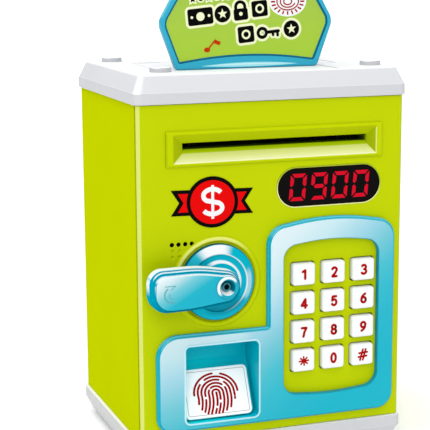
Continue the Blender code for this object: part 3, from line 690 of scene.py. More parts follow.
# look, material, colour, roughness, gloss and what else differs
PLASTICS = (
    # painted shade: a darker lime in the seam along the door's left
    ("seam", "lime_seam", (150, 186, 0), 0.5, 0.0),
    ("key", "key_plastic", (252, 253, 254), 0.3, 0.2),
    ("pad", "pad_plastic", BRIGHT, 0.3, 0.3),
    # painted highlight on the reader pocket's lip
    ("lip", "turquoise_lip", (196, 240, 250), 0.25, 0.3),
    # painted shade: dark olive deep in the coin slot
    ("throat", "slot_throat", (92, 118, 16), 0.7, 0.0),
    # painted shade: a darker turquoise on the display window's walls
    ("wall", "turquoise_wall", (14, 158, 186), 0.3, 0.15),
    # painted shade on the sign frame's inner walls and along the card's edge
    ("sign_wall", "sign_wall", (28, 116, 146), 0.3, 0.15),
    # painted highlights on the sign frame's lower edge
    ("shine", "sign_shine", (170, 240, 250), 0.2, 0.3),
    ("shine_white", "sign_shine_white", (224, 252, 254), 0.2, 0.3),
    ("smoked", "smoked_window", (30, 16, 22), 0.15, 0.06, dict(depth=0.004, drift=0.2)),
    ("dark", "dark_plastic", srgb(34, 34, 38), 0.5, 0.1),
    ("foot", "foot_rubber", srgb(52, 52, 55), 0.8, 0.1, dict(grain=1500.0, depth=0.05)),
    ("grey_rubber", "grey_rubber", srgb(120, 122, 128), 0.7, 0.1, dict(grain=1500.0, depth=0.05)),
    ("roller", "roller_rubber", srgb(44, 48, 40), 0.8, 0.1, dict(grain=1500.0, depth=0.05)),
    ("grey", "grey_plastic", srgb(160, 163, 168), 0.4, 0.2),
    ("board", "circuit_board", srgb(14, 92, 52), 0.35, 0.3, dict(drift=0.2)),
    ("dark_steel", "screw_teal", (58, 140, 156), 0.3, 0.2),
    # painted shade: near-black in the middle of the lever's screw
    ("screw_pit", "screw_pit", (10, 20, 26), 0.5, 0.05),
)
# look, material and colour
INKS = (
    ("ink_black", "ink_black", (26, 16, 18)),
    ("ink_red", "ink_red", (236, 0, 24)),
    ("ink_key", "ink_key_red", (178, 12, 26)),
    ("ink_print", "ink_print_red", (168, 10, 20)),
    ("ink_white", "ink_white", (250, 251, 252)),
    ("ink_grey", "ink_grey", (196, 188, 190)),
    ("ink_line", "panel_line", (236, 237, 239)),
    ("ink_seam", "seam_grey", (160, 162, 166)),
    ("ink_halo", "ink_halo", (246, 251, 208)),
    ("ink_arrow", "ink_arrow", (104, 182, 190)),
    ("ink_orange", "ink_orange", (198, 64, 30)),
)


def build_materials():
    """All finishes by name."""
    looks = {look: plastic(name, colour, rough, gloss, **(extra[0] if extra else {}))
             for look, name, colour, rough, gloss, *extra in PLASTICS}
    looks.update({look: printed(name, colour) for look, name, colour in INKS})
    looks.update({
        "lime": lime_plastic("lime_plastic"),
        "slot": slot_plastic(),
        "white": white_plastic("white_plastic", (213, 214, 218)),
        # the studs: the same white plastic with its walls painted a shade darker, as painted shade
        "stud": white_plastic("stud_plastic", (202, 203, 207)),
        "bezel": bezel_painted_highlight(),
        "turquoise": turquoise_plastic("turquoise_plastic", (12, 178, 206), 0.4),
        "pocket": pocket_deep(),
        "dial": dial_painted_highlights(),
        "ring": ring_painted_highlight(),
        "lever_face": lever_face(),
        "lever": lever_rim(),
        "boss": lever_boss(),
        "sign_frame": turquoise_plastic("sign_blue", (56, 176, 208), 0.45),
        "sign_card": sign_green(),
        "steel": metal("plated_steel", srgb(190, 190, 196)),
        "cell": metal("cell_wrap", srgb(176, 178, 186), 0.3, (14, 1, 1)),
        "window_rim": rim_light(),
        "glow": printed("display_red", srgb(196, 6, 34), glow=0.08),
    })
    return looks


# ---- cabinet

def build_shell():
    r, wall = 3.0, 2.2
    front_l, front_r = DOOR_BACK + 0.5, HINGE_Y + 4.3
    outer = [(HALF_W, front_r)] + arc(HALF_W - r, BACK - r, r, 0, 90, 10)
    outer += arc(-HALF_W + r, BACK - r, r, 90, 180, 10) + [(-HALF_W, front_l)]
    xi, yi, ri = HALF_W - wall, BACK - wall, r - 1.0
    inner = [(-xi, front_l)] + arc(-xi + ri, yi - ri, ri, 180, 90, 8)
    inner += arc(xi - ri, yi - ri, ri, 90, 0, 8) + [(xi, front_r)]
    body = upright(outer + inner, [(0.3, Z0 + 0.1), (0.0, Z0 + 0.4), (0.0, Z1 - 0.4), (0.3, Z1 - 0.1)])
    panel = [at(x, BACK - 0.7, z) for x, z in rounded(-46, 46, Z0 + 26, Z1 - 26, 5)]
    rim = [at(x, BACK + 1, z) for x, z in rounded(-48.4, 48.4, Z0 + 23.6, Z1 - 23.6, 7)]
    cuts = [loft([panel, rim])]
    corners = [(x, z) for z in (Z0 + 12, Z1 - 12) for x in (-55, 55)]
    for x, z in corners:
        cuts.append(turned(x, z, [(3.4, BACK - 1.1), (3.4, BACK - 0.2), (3.9, BACK + 0.4)], 32,
                           closed=False))
    piece(carved(body, cuts), "shell", "lime", "cabinet", "lime", "rear_shell")
    for number, (x, z) in enumerate(corners):
        screw("back_screw_%d" % (number + 1), x, z, BACK - 1.1, 1.0, "cabinet")
    ribs = [column([(x - 0.7, yi - 1.3), (x + 0.7, yi - 1.3), (x + 0.7, yi - 0.02), (x - 0.7, yi - 0.02)],
                   Z0 + 3, Z1 - 3) for x in (-42, -14, 14, 42)]
    piece(joined(ribs), "shell_ribs", "lime", "cabinet", "lime", bevel=0.2)


def screw(name, x, z, y, facing, body, radius=2.5):
    """Pan head with a cross recess; facing is +1 when it looks backwards."""
    head = [(radius, y), (radius, y + 0.35 * facing), (radius * 0.86, y + 0.75 * facing),
            (radius * 0.5, y + 0.98 * facing)]
    arm, width = radius * 0.55, radius * 0.16
    low, top = sorted((y + 0.45 * facing, y + 1.4 * facing))
    mesh = turned(x, z, head, 36, closed=False)
    for a, b in ((arm, width), (width, arm)):
        mesh = carved(mesh, [slab([(x - a, z - b), (x + a, z - b), (x + a, z + b), (x - a, z + b)], low,
                                  top)])
    return piece(mesh, name, "steel", body, "steel")


def stacked(levels):
    """Solid from (growth beyond the overhang, corner radius, z) levels of the body's plan."""
    return loft([[at(x, y, z) for x, y in
                  centred(0, 0, HALF_W + (OVERHANG + grow), BACK + (OVERHANG + grow), r, 10)]
                 for grow, r, z in levels])


STUDS = ((-48.2, -32), (56, -32), (-51.6, 38), (56, 38))
SEAMS = ((-43.0, -32.0, 21.0, 22.6), (46.6, 47.4, -12.0, 8.0), (33.0, 33.9, -45.5, -18.0))


def build_cap():
    band, top = Z1 + 5.2, CAP_TOP + 2.2
    body = stacked([(-10.2, 2.0, CAP_TOP - 2.4), (-4.4, 3.0, band), (-4.4, 3.0, Z1 + 0.2), (-4.2, 3.0, Z1),
                    (-0.25, 3.8, Z1), (0.0, 4.0, Z1 + 0.25), (0.0, 4.0, band - 0.5),
                    (-0.12, 3.95, band - 0.15), (-0.4, 3.9, band + 0.25), (-3.35, 2.9, CAP_TOP - 0.75),
                    (-3.7, 2.8, CAP_TOP - 0.3), (-4.3, 2.6, CAP_TOP - 0.04), (-5.0, 2.4, CAP_TOP)])
    slot = column(rounded(-17.2, 17.2, 4.1, 11.9, 0.8, 3), CAP_TOP - 8, CAP_TOP + 1)
    bore = turned_z(HINGE_X, HINGE_Y, [(2.4, Z1 - 0.5), (2.4, Z1 + 4)])
    groove = column(rounded(-46, 47, -12, 23, 3.0, 6), CAP_TOP - 0.35, CAP_TOP + 0.4)
    land = column(rounded(-45.6, 46.6, -11.6, 22.6, 2.6, 6), CAP_TOP - 0.6, CAP_TOP + 0.6)
    body = carved(body, [slot, bore, carved(groove, [land])])
    piece(body, "cap", "white", "cabinet", "white", "top_cap", crease=28)
    lines = [column([(x0, y0), (x1, y0), (x1, y1), (x0, y1)], CAP_TOP - 0.1, CAP_TOP + 0.03)
             for x0, x1, y0, y1 in SEAMS]
    piece(joined(lines), "cap_seams", "ink_seam", "cabinet", "white")
    path = [[at(x, y, z) for x, y in rounded(-46.0 + g, 47.0 - g, -12.0 + g, 22.4 - g, 3.0 - g, 6)]
            for g, z in raised(CAP_TOP, ((0.0, -0.1), (0.0, 0.02), (0.6, 0.02), (0.6, -0.1)))]
    piece(loft(path, closed=True), "cap_panel_line", "ink_line", "cabinet", "white")
    profile = [(4.9, CAP_TOP - 0.3)] + raised(
        top, ((4.9, -0.55), (4.75, -0.2), (4.4, 0.0), (3.1, 0.0), (2.9, -0.25), (0.4, -0.25)))
    for number, (x, y) in enumerate(STUDS):
        piece(turned_z(x, y, profile), "cap_stud_%d" % (number + 1), "stud", "cabinet", "white")


def build_base():
    low = 2.0
    body = stacked([(-10.2, 2.0, low + 2.4), (-4.4, 3.0, Z0 - 5.0), (-4.4, 3.0, Z0 - 0.2), (-4.2, 3.0, Z0),
                    (-0.3, 3.8, Z0), (0.0, 4.0, Z0 - 0.3), (0.0, 4.0, Z0 - 5.4), (-0.15, 3.95, Z0 - 5.8),
                    (-0.45, 3.9, Z0 - 6.2), (-3.4, 2.8, low + 0.5), (-3.9, 2.5, low + 0.1),
                    (-4.6, 2.3, low)])
    bore = turned_z(HINGE_X, HINGE_Y, [(2.4, Z0 - 4), (2.4, Z0 + 0.5)])
    wells = [turned_z(x, y, [(3.4, low - 0.5), (3.4, low + 1.2)]) for x in (-40, 40) for y in (-30, 30)]
    piece(carved(body, [bore] + wells), "base", "white", "cabinet", "white", "base_tray", crease=28)
    for name, z0, z1 in (("hinge_seat_top", Z1 + 0.05, Z1 + 4), ("hinge_seat_bottom", Z0 - 4, Z0 - 0.05)):
        seat = turned_z(HINGE_X, HINGE_Y, [(2.35, z0), (2.35, z1), (1.24, z1), (1.24, z0)], 36, closed=True)
        piece(seat, name, "white", "cabinet", "white")
    for tag, sx, sy in (("fl", -1, -1), ("fr", 1, -1), ("rl", -1, 1), ("rr", 1, 1)):
        foot = [(5.0, low - 0.05), (5.0, 0.5), (4.7, 0.12), (4.3, 0.0), (2.4, 0.0), (2.2, 0.35),
                (0.3, 0.35)]
        piece(turned_z(sx * (HALF_W - 12), sy * (BACK - 12), foot), "pad_" + tag, "foot", "cabinet",
              "rubber", "foot_" + tag)


def build_coin_slot():
    levels = ((1.2, -6), (1.2, 0.2), (2.8, 0.2), (2.8, 0.6), (2.6, 0.95), (2.1, MOUTH_RISE),
              (0.5, MOUTH_RISE), (0.15, 1.05), (0.0, 0.7), (0.0, -6))
    rings = [[at(x, y + 8, z) for x, y in centred(0, 0, 15.6 + g, 2.3 + g, 1.0 + g * 0.4, 6)]
             for g, z in raised(CAP_TOP, levels)]
    piece(loft(rings, closed=True), "coin_mouth", "white", "cabinet", "white", "coin_slot_trim")


# ---- door

def key_places():
    """Name, x and z of each key, row by row from the top left."""
    for number, name in enumerate(KEY_NAMES):
        row, col = divmod(number, 3)
        yield name, KEY_X + (col - 1) * KEY_PX, KEY_Z + (1.5 - row) * KEY_PZ


def hole(outline, flare):
    """Cutter for a hole through the door whose front edge is rounded over."""
    lip = raised(FRONT, quarter(flare, (0.0, 0.4, 0.8, 1.2, math.pi / 2), -1))
    return plate(outline, [(0.0, DOOR_BACK + 2)] + lip + [(-flare, FRONT - 2)])


def pocket_outline(grow, r, steps=8):
    return rounded(POCKET_L - grow, POCKET_R + grow, POCKET_B - grow, POCKET_T + grow, r, steps)


def build_door():
    c, seam, deep = 1.6, DOOR_BACK - 1.7, 1.3
    section = [(-HALF_W + deep, DOOR_BACK), (-HALF_W + deep, seam), (-HALF_W, seam),
               (-HALF_W, FRONT + c + 0.1)]
    section += [(-HALF_W + 0.12, FRONT + c - 0.12), (-HALF_W + c - 0.15, FRONT + 0.15),
                (-HALF_W + c + 0.25, FRONT)]
    section += [(HALF_W - c - 0.25, FRONT), (HALF_W - c + 0.15, FRONT + 0.15),
                (HALF_W - 0.15, FRONT + c - 0.15)]
    section += [(HALF_W, FRONT + c + 0.2)] + arc(HINGE_X, HINGE_Y, BARREL, 0, 180, 24)
    body = column(section, Z0 + GAP, Z1 - GAP)
    w, h = DISP_W / 2 + 0.2, DISP_H / 2 + 0.2
    cuts = [hole(centred(SLOT_X, SLOT_Z, 51.5, 6.5, 0.8, 3), 0.05),
            hole(centred(DISP_X, DISP_Z, w, h, h - 0.01, 16), 0.3), hole(pocket_outline(2.2, 1.0, 3), 0.05),
            hole(circle(KNOB_X, KNOB_Z, 5.6), 0.1)]
    # a row of four speaker holes, with four shallow ones below
    cuts += [hole(circle(-49.4 + 3.15 * i, Z0 + 92.1, 1.02, 24), 0.12) for i in range(4)]
    for x, z in ((-49.1, 89.2), (-45.8, 89.2), (-49.1, 86.3), (-45.8, 86.4)):
        pit = raised(FRONT, ((0.35, 0.45), (0.0, 0.1), (-0.2, -0.4)))
        cuts.append(plate(circle(x, Z0 + z, 0.8, 20), pit))
    for _, x, z in key_places():
        cuts.append(hole(centred(x, z, KEY_W / 2 + 0.5, KEY_H / 2 + 0.5, 1.5, 5), 0.12))
    for low, high in ((Z0 - 1, Z0 + 8.4), (Z1 - 8.4, Z1 + 1)):
        cuts.append(turned_z(HINGE_X, HINGE_Y, [(1.3, low), (1.3, high)], 36))
    def pick(x, y, z, normal):
        # the speaker holes' walls take dark plastic, as painted shade in the holes
        if -51 < x < -39 and Z0 + 91 < z < Z0 + 93.2 and y > FRONT + 0.2 and abs(normal.y) < 0.5:
            return 2
        # the step into the seam along the door's left takes the painted shade of lime_seam
        return 1 if x < -HALF_W + deep + 0.05 and y > seam - 0.05 else 0

    door = piece(carved(body, cuts), "door", "lime", "door", "lime", "door_panel", crease=24)
    refinish(door, ("seam", "dark"), pick)


def build_slot_frame():
    out, near, far = FRONT - 1.2, -47.7, -38.6
    # shift, half width, lower edge, upper edge, y and corner radius of each ring
    levels = [(0, 53.0, -8.0, 8.0, FRONT - 0.03, 0.5), (0, 53.0, -8.0, 8.0, out + 0.75, 0.5),
              (0, 52.8, -7.8, 7.8, out + 0.35, 0.5), (0, 52.2, -7.2, 7.2, out + 0.02, 0.5),
              (0, 51.8, -6.9, 6.95, out, 0.5), (0, 49.7, -6.5, 6.55, out, 0.3),
              (0, 49.45, -6.3, 6.35, out + 0.12, 0.2), (1, 45.4, -2.3, 2.35, near, 0.15),
              (1, 45.2, -1.7, 2.3, -47.35, 0.15), (1, 45.0, -0.75, 2.2, -46.2, 0.1),
              (1, 45.0, -0.7, 2.2, far, 0.1), (1, 46.2, -3.5, 3.5, far, 0.8),
              (1, 46.2, -3.5, 3.5, -46.0, 0.8), (0, 51.0, -6.2, 6.2, -46.8, 0.5),
              (0, 51.0, -6.2, 6.2, FRONT - 0.03, 0.5)]
    rings = [[at(u, y, v) for u, v in
              rounded(SLOT_X + dx - w, SLOT_X + dx + w, SLOT_Z + low, SLOT_Z + high, r, 4)]
             for dx, w, low, high, y, r in levels]
    slot = piece(loft(rings, closed=True), "slot_frame", "slot", "door", "lime", "slot_bezel", crease=20)
    # deep in the slot the faces take the painted shade of slot_throat
    refinish(slot, ("throat",), lambda x, y, z, normal: int(y > -46.1 and abs(z - SLOT_Z) < 2.4))


SEGMENTS = {"0": "abcdef", "9": "abcdfg"}


def segment_shapes(w, h, t, gap):
    """Corner points of the seven bars of one digit, lower left at 0, 0."""
    m, half = h / 2, t / 2
    top = [(gap, h), (w - gap, h), (w - t - gap * 0.4, h - t), (t + gap * 0.4, h - t)]
    left = [(0, h - gap), (t, h - t - gap), (t, m + half + gap), (half, m + gap * 0.6), (0, m + gap * 1.4)]
    middle = [(gap + half, m), (t + gap * 0.6, m + half), (w - t - gap * 0.6, m + half),
              (w - gap - half, m), (w - t - gap * 0.6, m - half), (t + gap * 0.6, m - half)]

    def upside(bar):
        return [(x, h - z) for x, z in bar[:1] + bar[:0:-1]]

    def across_digit(bar):
        return [(w - x, z) for x, z in bar[:1] + bar[:0:-1]]

    return {"a": top, "b": across_digit(left), "c": across_digit(upside(left)), "d": upside(top),
            "e": upside(left), "f": left, "g": middle}


def build_display():
    y = FRONT - 0.2
    outline = centred(DISP_X, DISP_Z, DISP_W / 2, DISP_H / 2, DISP_H / 2 - 0.01, 16)
    edge = raised(y, quarter(0.35, [math.pi / 2 * i / 4 for i in range(5)]))
    piece(plate(outline, [(0.0, FRONT + 1.4), (0.0, y + 0.2)] + edge), "window", "smoked", "door", "smoked",
          "display_window", crease=60)
    rim = raised(FRONT, ((-0.25, -0.02), (-0.25, -0.16), (-0.1, -0.24), (0.25, -0.24), (0.25, -0.02)))
    piece(plate(outline, rim, closed=True), "window_rim", "window_rim", "door", "label", crease=60)
    wide, tall, slant, pitch = 8.0, 12.6, 0.09, 10.55
    shapes = segment_shapes(wide, tall, 1.75, 0.62)
    bars = []
    for i, char in enumerate("0900"):
        left = DISP_X - 1.5 * pitch - wide / 2 - 0.5 + i * pitch
        for bar in SEGMENTS[char]:
            pts = [(left + x + z * slant, DISP_Z - tall / 2 + z) for x, z in shapes[bar]]
            bars.append(slab(pts, y - 0.01, y - 0.06))
    piece(joined(bars), "display_digits", "glow", "door", "label_red")


def on_badge(points, wide=1.0):
    """Places points of the badge, which is printed a touch lower at its right end."""
    return [(BADGE_X + x * wide, BADGE_Z + z - 0.022 * (x * wide + 20.0)) for x, z in points]


def badge_outline(r, h, tip, notch, steps=24):
    a = math.degrees(math.asin(h / r))
    right = arc(0, 0, r, -180 + a, -a, steps) + [(tip, -h), (notch, 0.0), (tip, h)]
    left = arc(0, 0, r, a, 180 - a, steps) + [(-tip, h), (-notch, 0.0), (-tip, -h)]
    return on_badge(right + left)


def build_badge():
    y, wide = FRONT - 0.05, 1.055
    outline = badge_outline(BADGE_R, 5.8, 19.6, 15.7)
    piece(plate(outline, raised(y, ((0.0, 0.0), (0.0, -0.12), (0.08, -0.2)))), "badge_outline", "ink_black",
          "door", "label", "badge_backing")
    tails = []
    for side in (-1, 1):
        pts = on_badge([(side * x, z) for x, z in
                        ((11.2, -4.2), (16.4, -4.2), (13.7, 0.0), (16.4, 4.2), (11.2, 4.2))])
        tails.append(slab(pts if side > 0 else pts[::-1], y - 0.2, y - 0.26))
    piece(joined(tails), "badge_ribbon", "ink_red", "door", "label_red")
    for name, look, slot, node, r, edge in (("badge_ring", "ink_black", "label", None, BADGE_R,
                                             ((0.0, -0.2), (0.08, -0.3))),
                                            ("badge_disc", "ink_red", "label_red", "badge_face",
                                             BADGE_R - 1.7, ((0.0, -0.3), (0.0, -0.36)))):
        piece(plate(on_badge(circle(0, 0, r, 72), wide), raised(y, edge)), name, look, "door", slot, node)
    curl = on_badge(oval(0.0, 2.95, 4.4, 2.95, 28, 228) + oval(0.0, -2.6, 4.6, 2.85, 48, -154))
    bar = on_badge([(0.05, 7.7), (0.05, -7.6)])
    sign = [stroke(curl, 2.1, y - 0.37, y - 0.44, blunt=True),
            stroke(bar, 1.35, y - 0.37, y - 0.42, blunt=True)]
    piece(joined(sign), "badge_sign", "ink_white", "door", "white")


def on_body(corners, steps):
    """fillet() of corners counted from the body's lower edge."""
    return fillet([(x, Z0 + z, r) for x, z, r in corners], steps)


def bezel_outline():
    return on_body([(60.6, 4.6, 8.0), (60.6, 96.6, 9.5), (28.3, 101.9, 110.0), (-4.0, 96.6, 9.5),
                    (-4.0, 50.4, 0.6), (-57.8, 50.4, 10.3), (-57.8, 4.6, 7.0)], 12)


def window_outline():
    return on_body([(51.9, 17.3, 7.0), (51.9, 87.7, 7.0), (27.8, 90.8, 100.0), (3.7, 87.7, 7.0),
                    (3.7, 17.3, 7.0), (27.8, 15.2, 120.0)], 10)


PAD_TILT = math.radians(24.5)
PAD_LEN, PAD_W, PAD_T = 23.2, 31.6, 1.8
POCKET_FLOOR = -35.2


def pocket_section(grow):
    """Side view (y, z) of the reader pocket, or of the walls round it."""
    run = 25.2
    low_y = FRONT + 3.2
    top_y, top_z = low_y + run * math.sin(PAD_TILT), POCKET_B + run * math.cos(PAD_TILT)
    if not grow:
        return [(FRONT - 10, POCKET_B), (low_y, POCKET_B), (top_y, top_z), (POCKET_FLOOR, top_z + 2),
                (POCKET_FLOOR, POCKET_T), (FRONT - 10, POCKET_T)]
    return [(FRONT - 0.6, POCKET_B - grow), (low_y + grow * 0.6, POCKET_B - grow),
            (top_y + grow, top_z - 0.4), (POCKET_FLOOR + grow, top_z + 1.4),
            (POCKET_FLOOR + grow, POCKET_T + grow), (FRONT - 0.6, POCKET_T + grow)]


def across(section, x0, x1):
    return loft([[at(x, y, z) for y, z in section] for x in (x0, x1)])


def build_bezel():
    y, top = FRONT - 0.03, FRONT - 3.0
    profile = [(0.0, y)] + raised(top, ((0.0, 1.55), (0.1, 1.35), (0.5, 1.1), (0.72, 0.98), (0.78, 0.5),
                                        (0.95, 0.22), (1.25, 0.05), (1.7, 0.0)))
    ridge = plate(pocket_outline(0.85, 3.2), raised(top,
                                                    ((0.0, 0.5), (0.0, -0.1), (0.15, -0.3), (0.4, -0.38),
                                                     (1.2, -0.38))))
    walls = across(pocket_section(1.6), POCKET_L - 1.6, POCKET_R + 1.6)
    body = carved(carved(plate(bezel_outline(), profile), [walls], "UNION"), [ridge], "UNION")
    r = 0.5
    sides = [(0.0, y + 1), (0.0, top + r)]
    sides += raised(top, quarter(r, (0.4, 0.8, 1.2, 1.5), -1))
    body = carved(body, [plate(window_outline(), sides + [(-r, top - 1)])])
    bore = plate(pocket_outline(0, 2.4), [(0.0, -30.0), (0.0, top - 0.1), (-0.2, top - 0.34),
                                          (-0.3, top - 2)])
    cavity = across(pocket_section(0), POCKET_L, POCKET_R)
    body = carved(body, [carved(cavity, [bore], "INTERSECT")])

    def pick(x, depth, z, normal):
        if POCKET_L - 1.2 < x < POCKET_R + 1.2 and POCKET_B - 1.2 < z < POCKET_T + 1.2:
            # the pocket's lip takes the painted highlight of turquoise_lip
            if depth < top + 0.02:
                return 2
            if depth > top:
                return 3
        if normal.y <= -0.9:
            return 0
        # the display window's walls take painted shade
        return 4 if 3.0 < x < 52.6 and Z0 + 14.5 < z < Z0 + 91.5 else 1

    bezel = piece(body, "bezel", "bezel", "door", "turquoise", "bezel_trim", crease=26)
    refinish(bezel, ("turquoise", "lip", "pocket", "wall"), pick)


def bent(paths, width, x, z, y0, y1):
    """Strokes of a sign, each a list of points round x, z."""
    return joined([stroke([(x + u, z + v) for u, v in path], width, y0 - 0.002 * i, y1 - 0.002 * i)
                   for i, path in enumerate(paths)])


def digit_paths():
    """Bold condensed digits five millimetres high, as centre lines."""
    return {"0": [oval(0, 0, 1.0, 2.1, 90, 270), oval(0, 0, 1.0, 2.1, 270, 450)],
            "1": [[(0.35, -2.1), (0.35, 2.05)], [(0.35, 2.05), (-0.25, 1.55), (-0.8, 1.25)]],
            "2": [oval(0, 1.05, 1.02, 1.05, 165, -25) + [(0.3, -0.55), (-0.95, -2.05)],
                  [(-0.95, -2.08), (1.05, -2.08)]],
            "3": [oval(-0.05, 1.12, 0.95, 1.0, 150, -80), oval(-0.05, -0.98, 1.08, 1.12, 85, -150)],
            "4": [[(0.5, -2.1), (0.5, 2.05)], [(0.5, 2.05), (-1.2, -0.95)], [(-1.2, -0.98), (1.2, -0.98)]],
            "5": [[(0.95, 2.08), (-0.65, 2.08)], [(-0.65, 2.08), (-0.9, 0.2)],
                  oval(-0.05, -0.72, 1.06, 1.36, 140, -150)],
            "6": [oval(0, -0.85, 1.02, 1.25, 0, 360),
                  [(-1.0, -0.8), (-0.75, 0.6), (0.0, 1.55), (0.75, 2.1)]],
            "7": [[(-1.05, 2.08), (1.05, 2.08)], [(1.05, 2.08), (0.15, 0.1), (-0.3, -2.1)]],
            "8": [oval(0, 1.12, 0.88, 1.0, 0, 360), oval(0, -0.98, 1.02, 1.12, 0, 360)],
            "9": [oval(0, 0.85, 1.02, 1.25, 0, 360),
                  [(1.0, 0.8), (0.75, -0.6), (0.0, -1.55), (-0.75, -2.1)]],
            "*": [[(2.1 * math.cos(a), 2.1 * math.sin(a)), (-2.1 * math.cos(a), -2.1 * math.sin(a))]
                  for a in (math.radians(45 * k + 4) for k in range(4))],
            "#": [[(-1.25, -2.6), (0.05, 2.6)], [(0.05, -2.6), (1.35, 2.6)], [(-1.75, 0.8), (2.1, 1.1)],
                  [(-2.0, -1.05), (1.8, -0.75)]],}


def build_keys():
    y, paths = FRONT - 2.7, digit_paths()
    signs, widths = {"key_star": "*", "key_hash": "#"}, {"*": 0.8, "#": 1.0}
    profile = raised(DOOR_BACK, ((-0.9, 1.1), (-0.9, 0.2), (0.0, 0.2)))
    profile += raised(y, ((0.0, 1.3), (0.1, 0.75), (0.3, 0.34), (0.6, 0.1), (1.0, 0.0)))
    for name, x, z in key_places():
        cap = plate(centred(x, z, KEY_W / 2, KEY_H / 2, 1.5), profile)
        piece(cap, name.replace("key", "keycap"), "key", name, "white", name, crease=40)
        sign = signs.get(name, name[-1])
        path = [[(1.12 * u, v) for u, v in line] for line in paths[sign]]
        piece(bent(path, widths.get(sign, 1.2), x, z, y - 0.01, y - 0.05), name.replace("key", "legend"),
              "ink_key", name, "label_red")


def on_pad(u, lift, v):
    """Point on the reader pad: u across, v up the slope, lift out of its face."""
    run = Vector((0, math.sin(PAD_TILT), math.cos(PAD_TILT)))
    normal = Vector((0, -math.cos(PAD_TILT), math.sin(PAD_TILT)))
    foot = Vector(((POCKET_L + POCKET_R) / 2 - 0.1, FRONT + 1.0, POCKET_B)) + run * 0.2 + normal * 0.7
    p = foot + Vector((u, 0, 0)) + run * v + normal * lift
    return at(p.x, p.y, p.z)


def build_pad():
    outline = rounded(-PAD_W / 2 - 1.2, PAD_W / 2, 0, PAD_LEN, 2.4, 8)

    def lifted(profile, closed=False):
        return loft([[on_pad(u, lift, v) for u, v in inset(outline, d)] for d, lift in profile], closed)

    body = [(0.0, 0.0)] + raised(PAD_T, ((0.0, -0.5), (0.12, -0.2), (0.35, -0.03), (0.6, 0.0)))
    piece(lifted(body), "reader_pad", "pad", "fingerprint_pad", "white", "fingerprint_pad", crease=50)
    line = lifted(raised(PAD_T, ((1.3, 0.01), (1.3, 0.05), (1.6, 0.05), (1.6, 0.01))), closed=True)
    piece(line, "reader_border", "ink_grey", "fingerprint_pad", "label")
    ridges = print_ridges(lambda u, lift, v: on_pad(1.07 * u - 1.0, PAD_T + 0.02 + lift, 11.2 + 0.94 * v),
                          1.66, 0.98)
    piece(joined(ridges), "reader_print", "ink_print", "fingerprint_pad", "label_red")


def print_ridges(place, pitch, width):
    """Nested arches with breaks, like the ridges of a finger tip, ending on a circle below."""
    ridges, reach = [], pitch * 6.0

    def sway(v):
        t = min(1.0, max(0.0, -v / reach))
        return pitch * (0.75 * t * (1.0 - t) - 0.9 * t * t)

    def add(path):
        if len(path) > 2:
            ridges.append(stroke(path, width, 0.0, 0.04, place))

    for number, (left_end, right_end, breaks) in enumerate((
            (0.97, 0.97, (0.83,)), (0.98, 1.0, (0.36,)), (0.96, 0.98, (0.2, 0.62)), (0.95, 0.95, (0.56,)),
            (0.78, 0.62, (0.38, 0.9)), (0.4, 0.02, (0.18, 0.5)))):
        r = pitch * (number + 1)
        drop = math.sqrt(max(0.0, reach * reach - r * r)) + pitch * 0.4
        path = [(-r + sway(v), v) for v in spread(-drop * left_end, 0.0, 16)]
        path += [(r * math.cos(a), r * 0.97 * math.sin(a)) for a in spread(math.pi, 0.0, 26)[1:-1]]
        path += [(r + sway(v), v) for v in spread(0.0, -drop * right_end, 16)]
        cuts = [int(len(path) * share) for share in breaks]
        start = 0
        for cut in cuts + [len(path)]:
            add(path[start:cut])
            start = cut + 2
    stem = [(0.1 * pitch + sway(v), v) for v in spread(pitch * 0.1, -reach, 20)]
    add(stem[:13])
    add(stem[15:])
    return ridges


def spread(start, end, count):
    """Evenly spaced numbers, both ends among them."""
    return [start + (end - start) * i / (count - 1) for i in range(count)]


# ---- handle

def build_dial():
    y = FRONT - 0.03
    ring = raised(y, ((0.0, 0.0), (-0.1, -0.35), (-0.45, -0.75), (-1.0, -1.0), (-1.6, -1.05), (-2.1, -0.9),
                      (-2.5, -0.55), (-2.75, 0.0)), 21.2)
    piece(turned(KNOB_X, KNOB_Z, ring), "surround", "ring", "door", "lime", "dial_surround", crease=50)
    steps = raised(y, ((0.0, 0.0), (0.0, -1.3), (-0.15, -1.7), (-0.5, -2.0), (-3.9, -3.75), (-4.2, -3.85),
                       (-4.5, -3.7), (-4.7, -3.3), (-5.0, -3.15), (-7.0, -3.3), (-7.3, -3.5), (-7.5, -4.4),
                       (-7.9, -4.85), (-8.6, -5.0), (-10.9, -5.9), (-11.4, -5.95), (-11.4, 0.0)), 17.8)
    piece(turned(KNOB_X, KNOB_Z, steps), "dial", "dial", "door", "turquoise", "dial_rosette", crease=40)


LEVER_BACK, LEVER_FRONT = -58.5, -64.5
LEVER_OUTER = ((-21.7, -6.6, 6.5), (-21.7, 7.0, 7.5), (-41.0, 10.5, 60.0), (-64.4, 10.3, 6.5),
               (-64.4, -9.3, 8.5), (-44.0, -8.9, 60.0))
LEVER_FACE = ((-23.4, -5.3, 5.2), (-23.4, 4.4, 5.5), (-41.0, 7.3, 56.0), (-61.4, 7.1, 4.6),
              (-61.4, -8.2, 7.2), (-44.0, -7.8, 58.0))


def lever_outline(t):
    """Outline between the lever's outer edge, at 0, and the edge of its raised face, at 1."""
    corners = []
    for low, high in zip(LEVER_OUTER, LEVER_FACE):
        x, z, r = (a + (b - a) * t for a, b in zip(low, high))
        corners.append((x, KNOB_Z + z, r))
    return fillet(corners, 10)


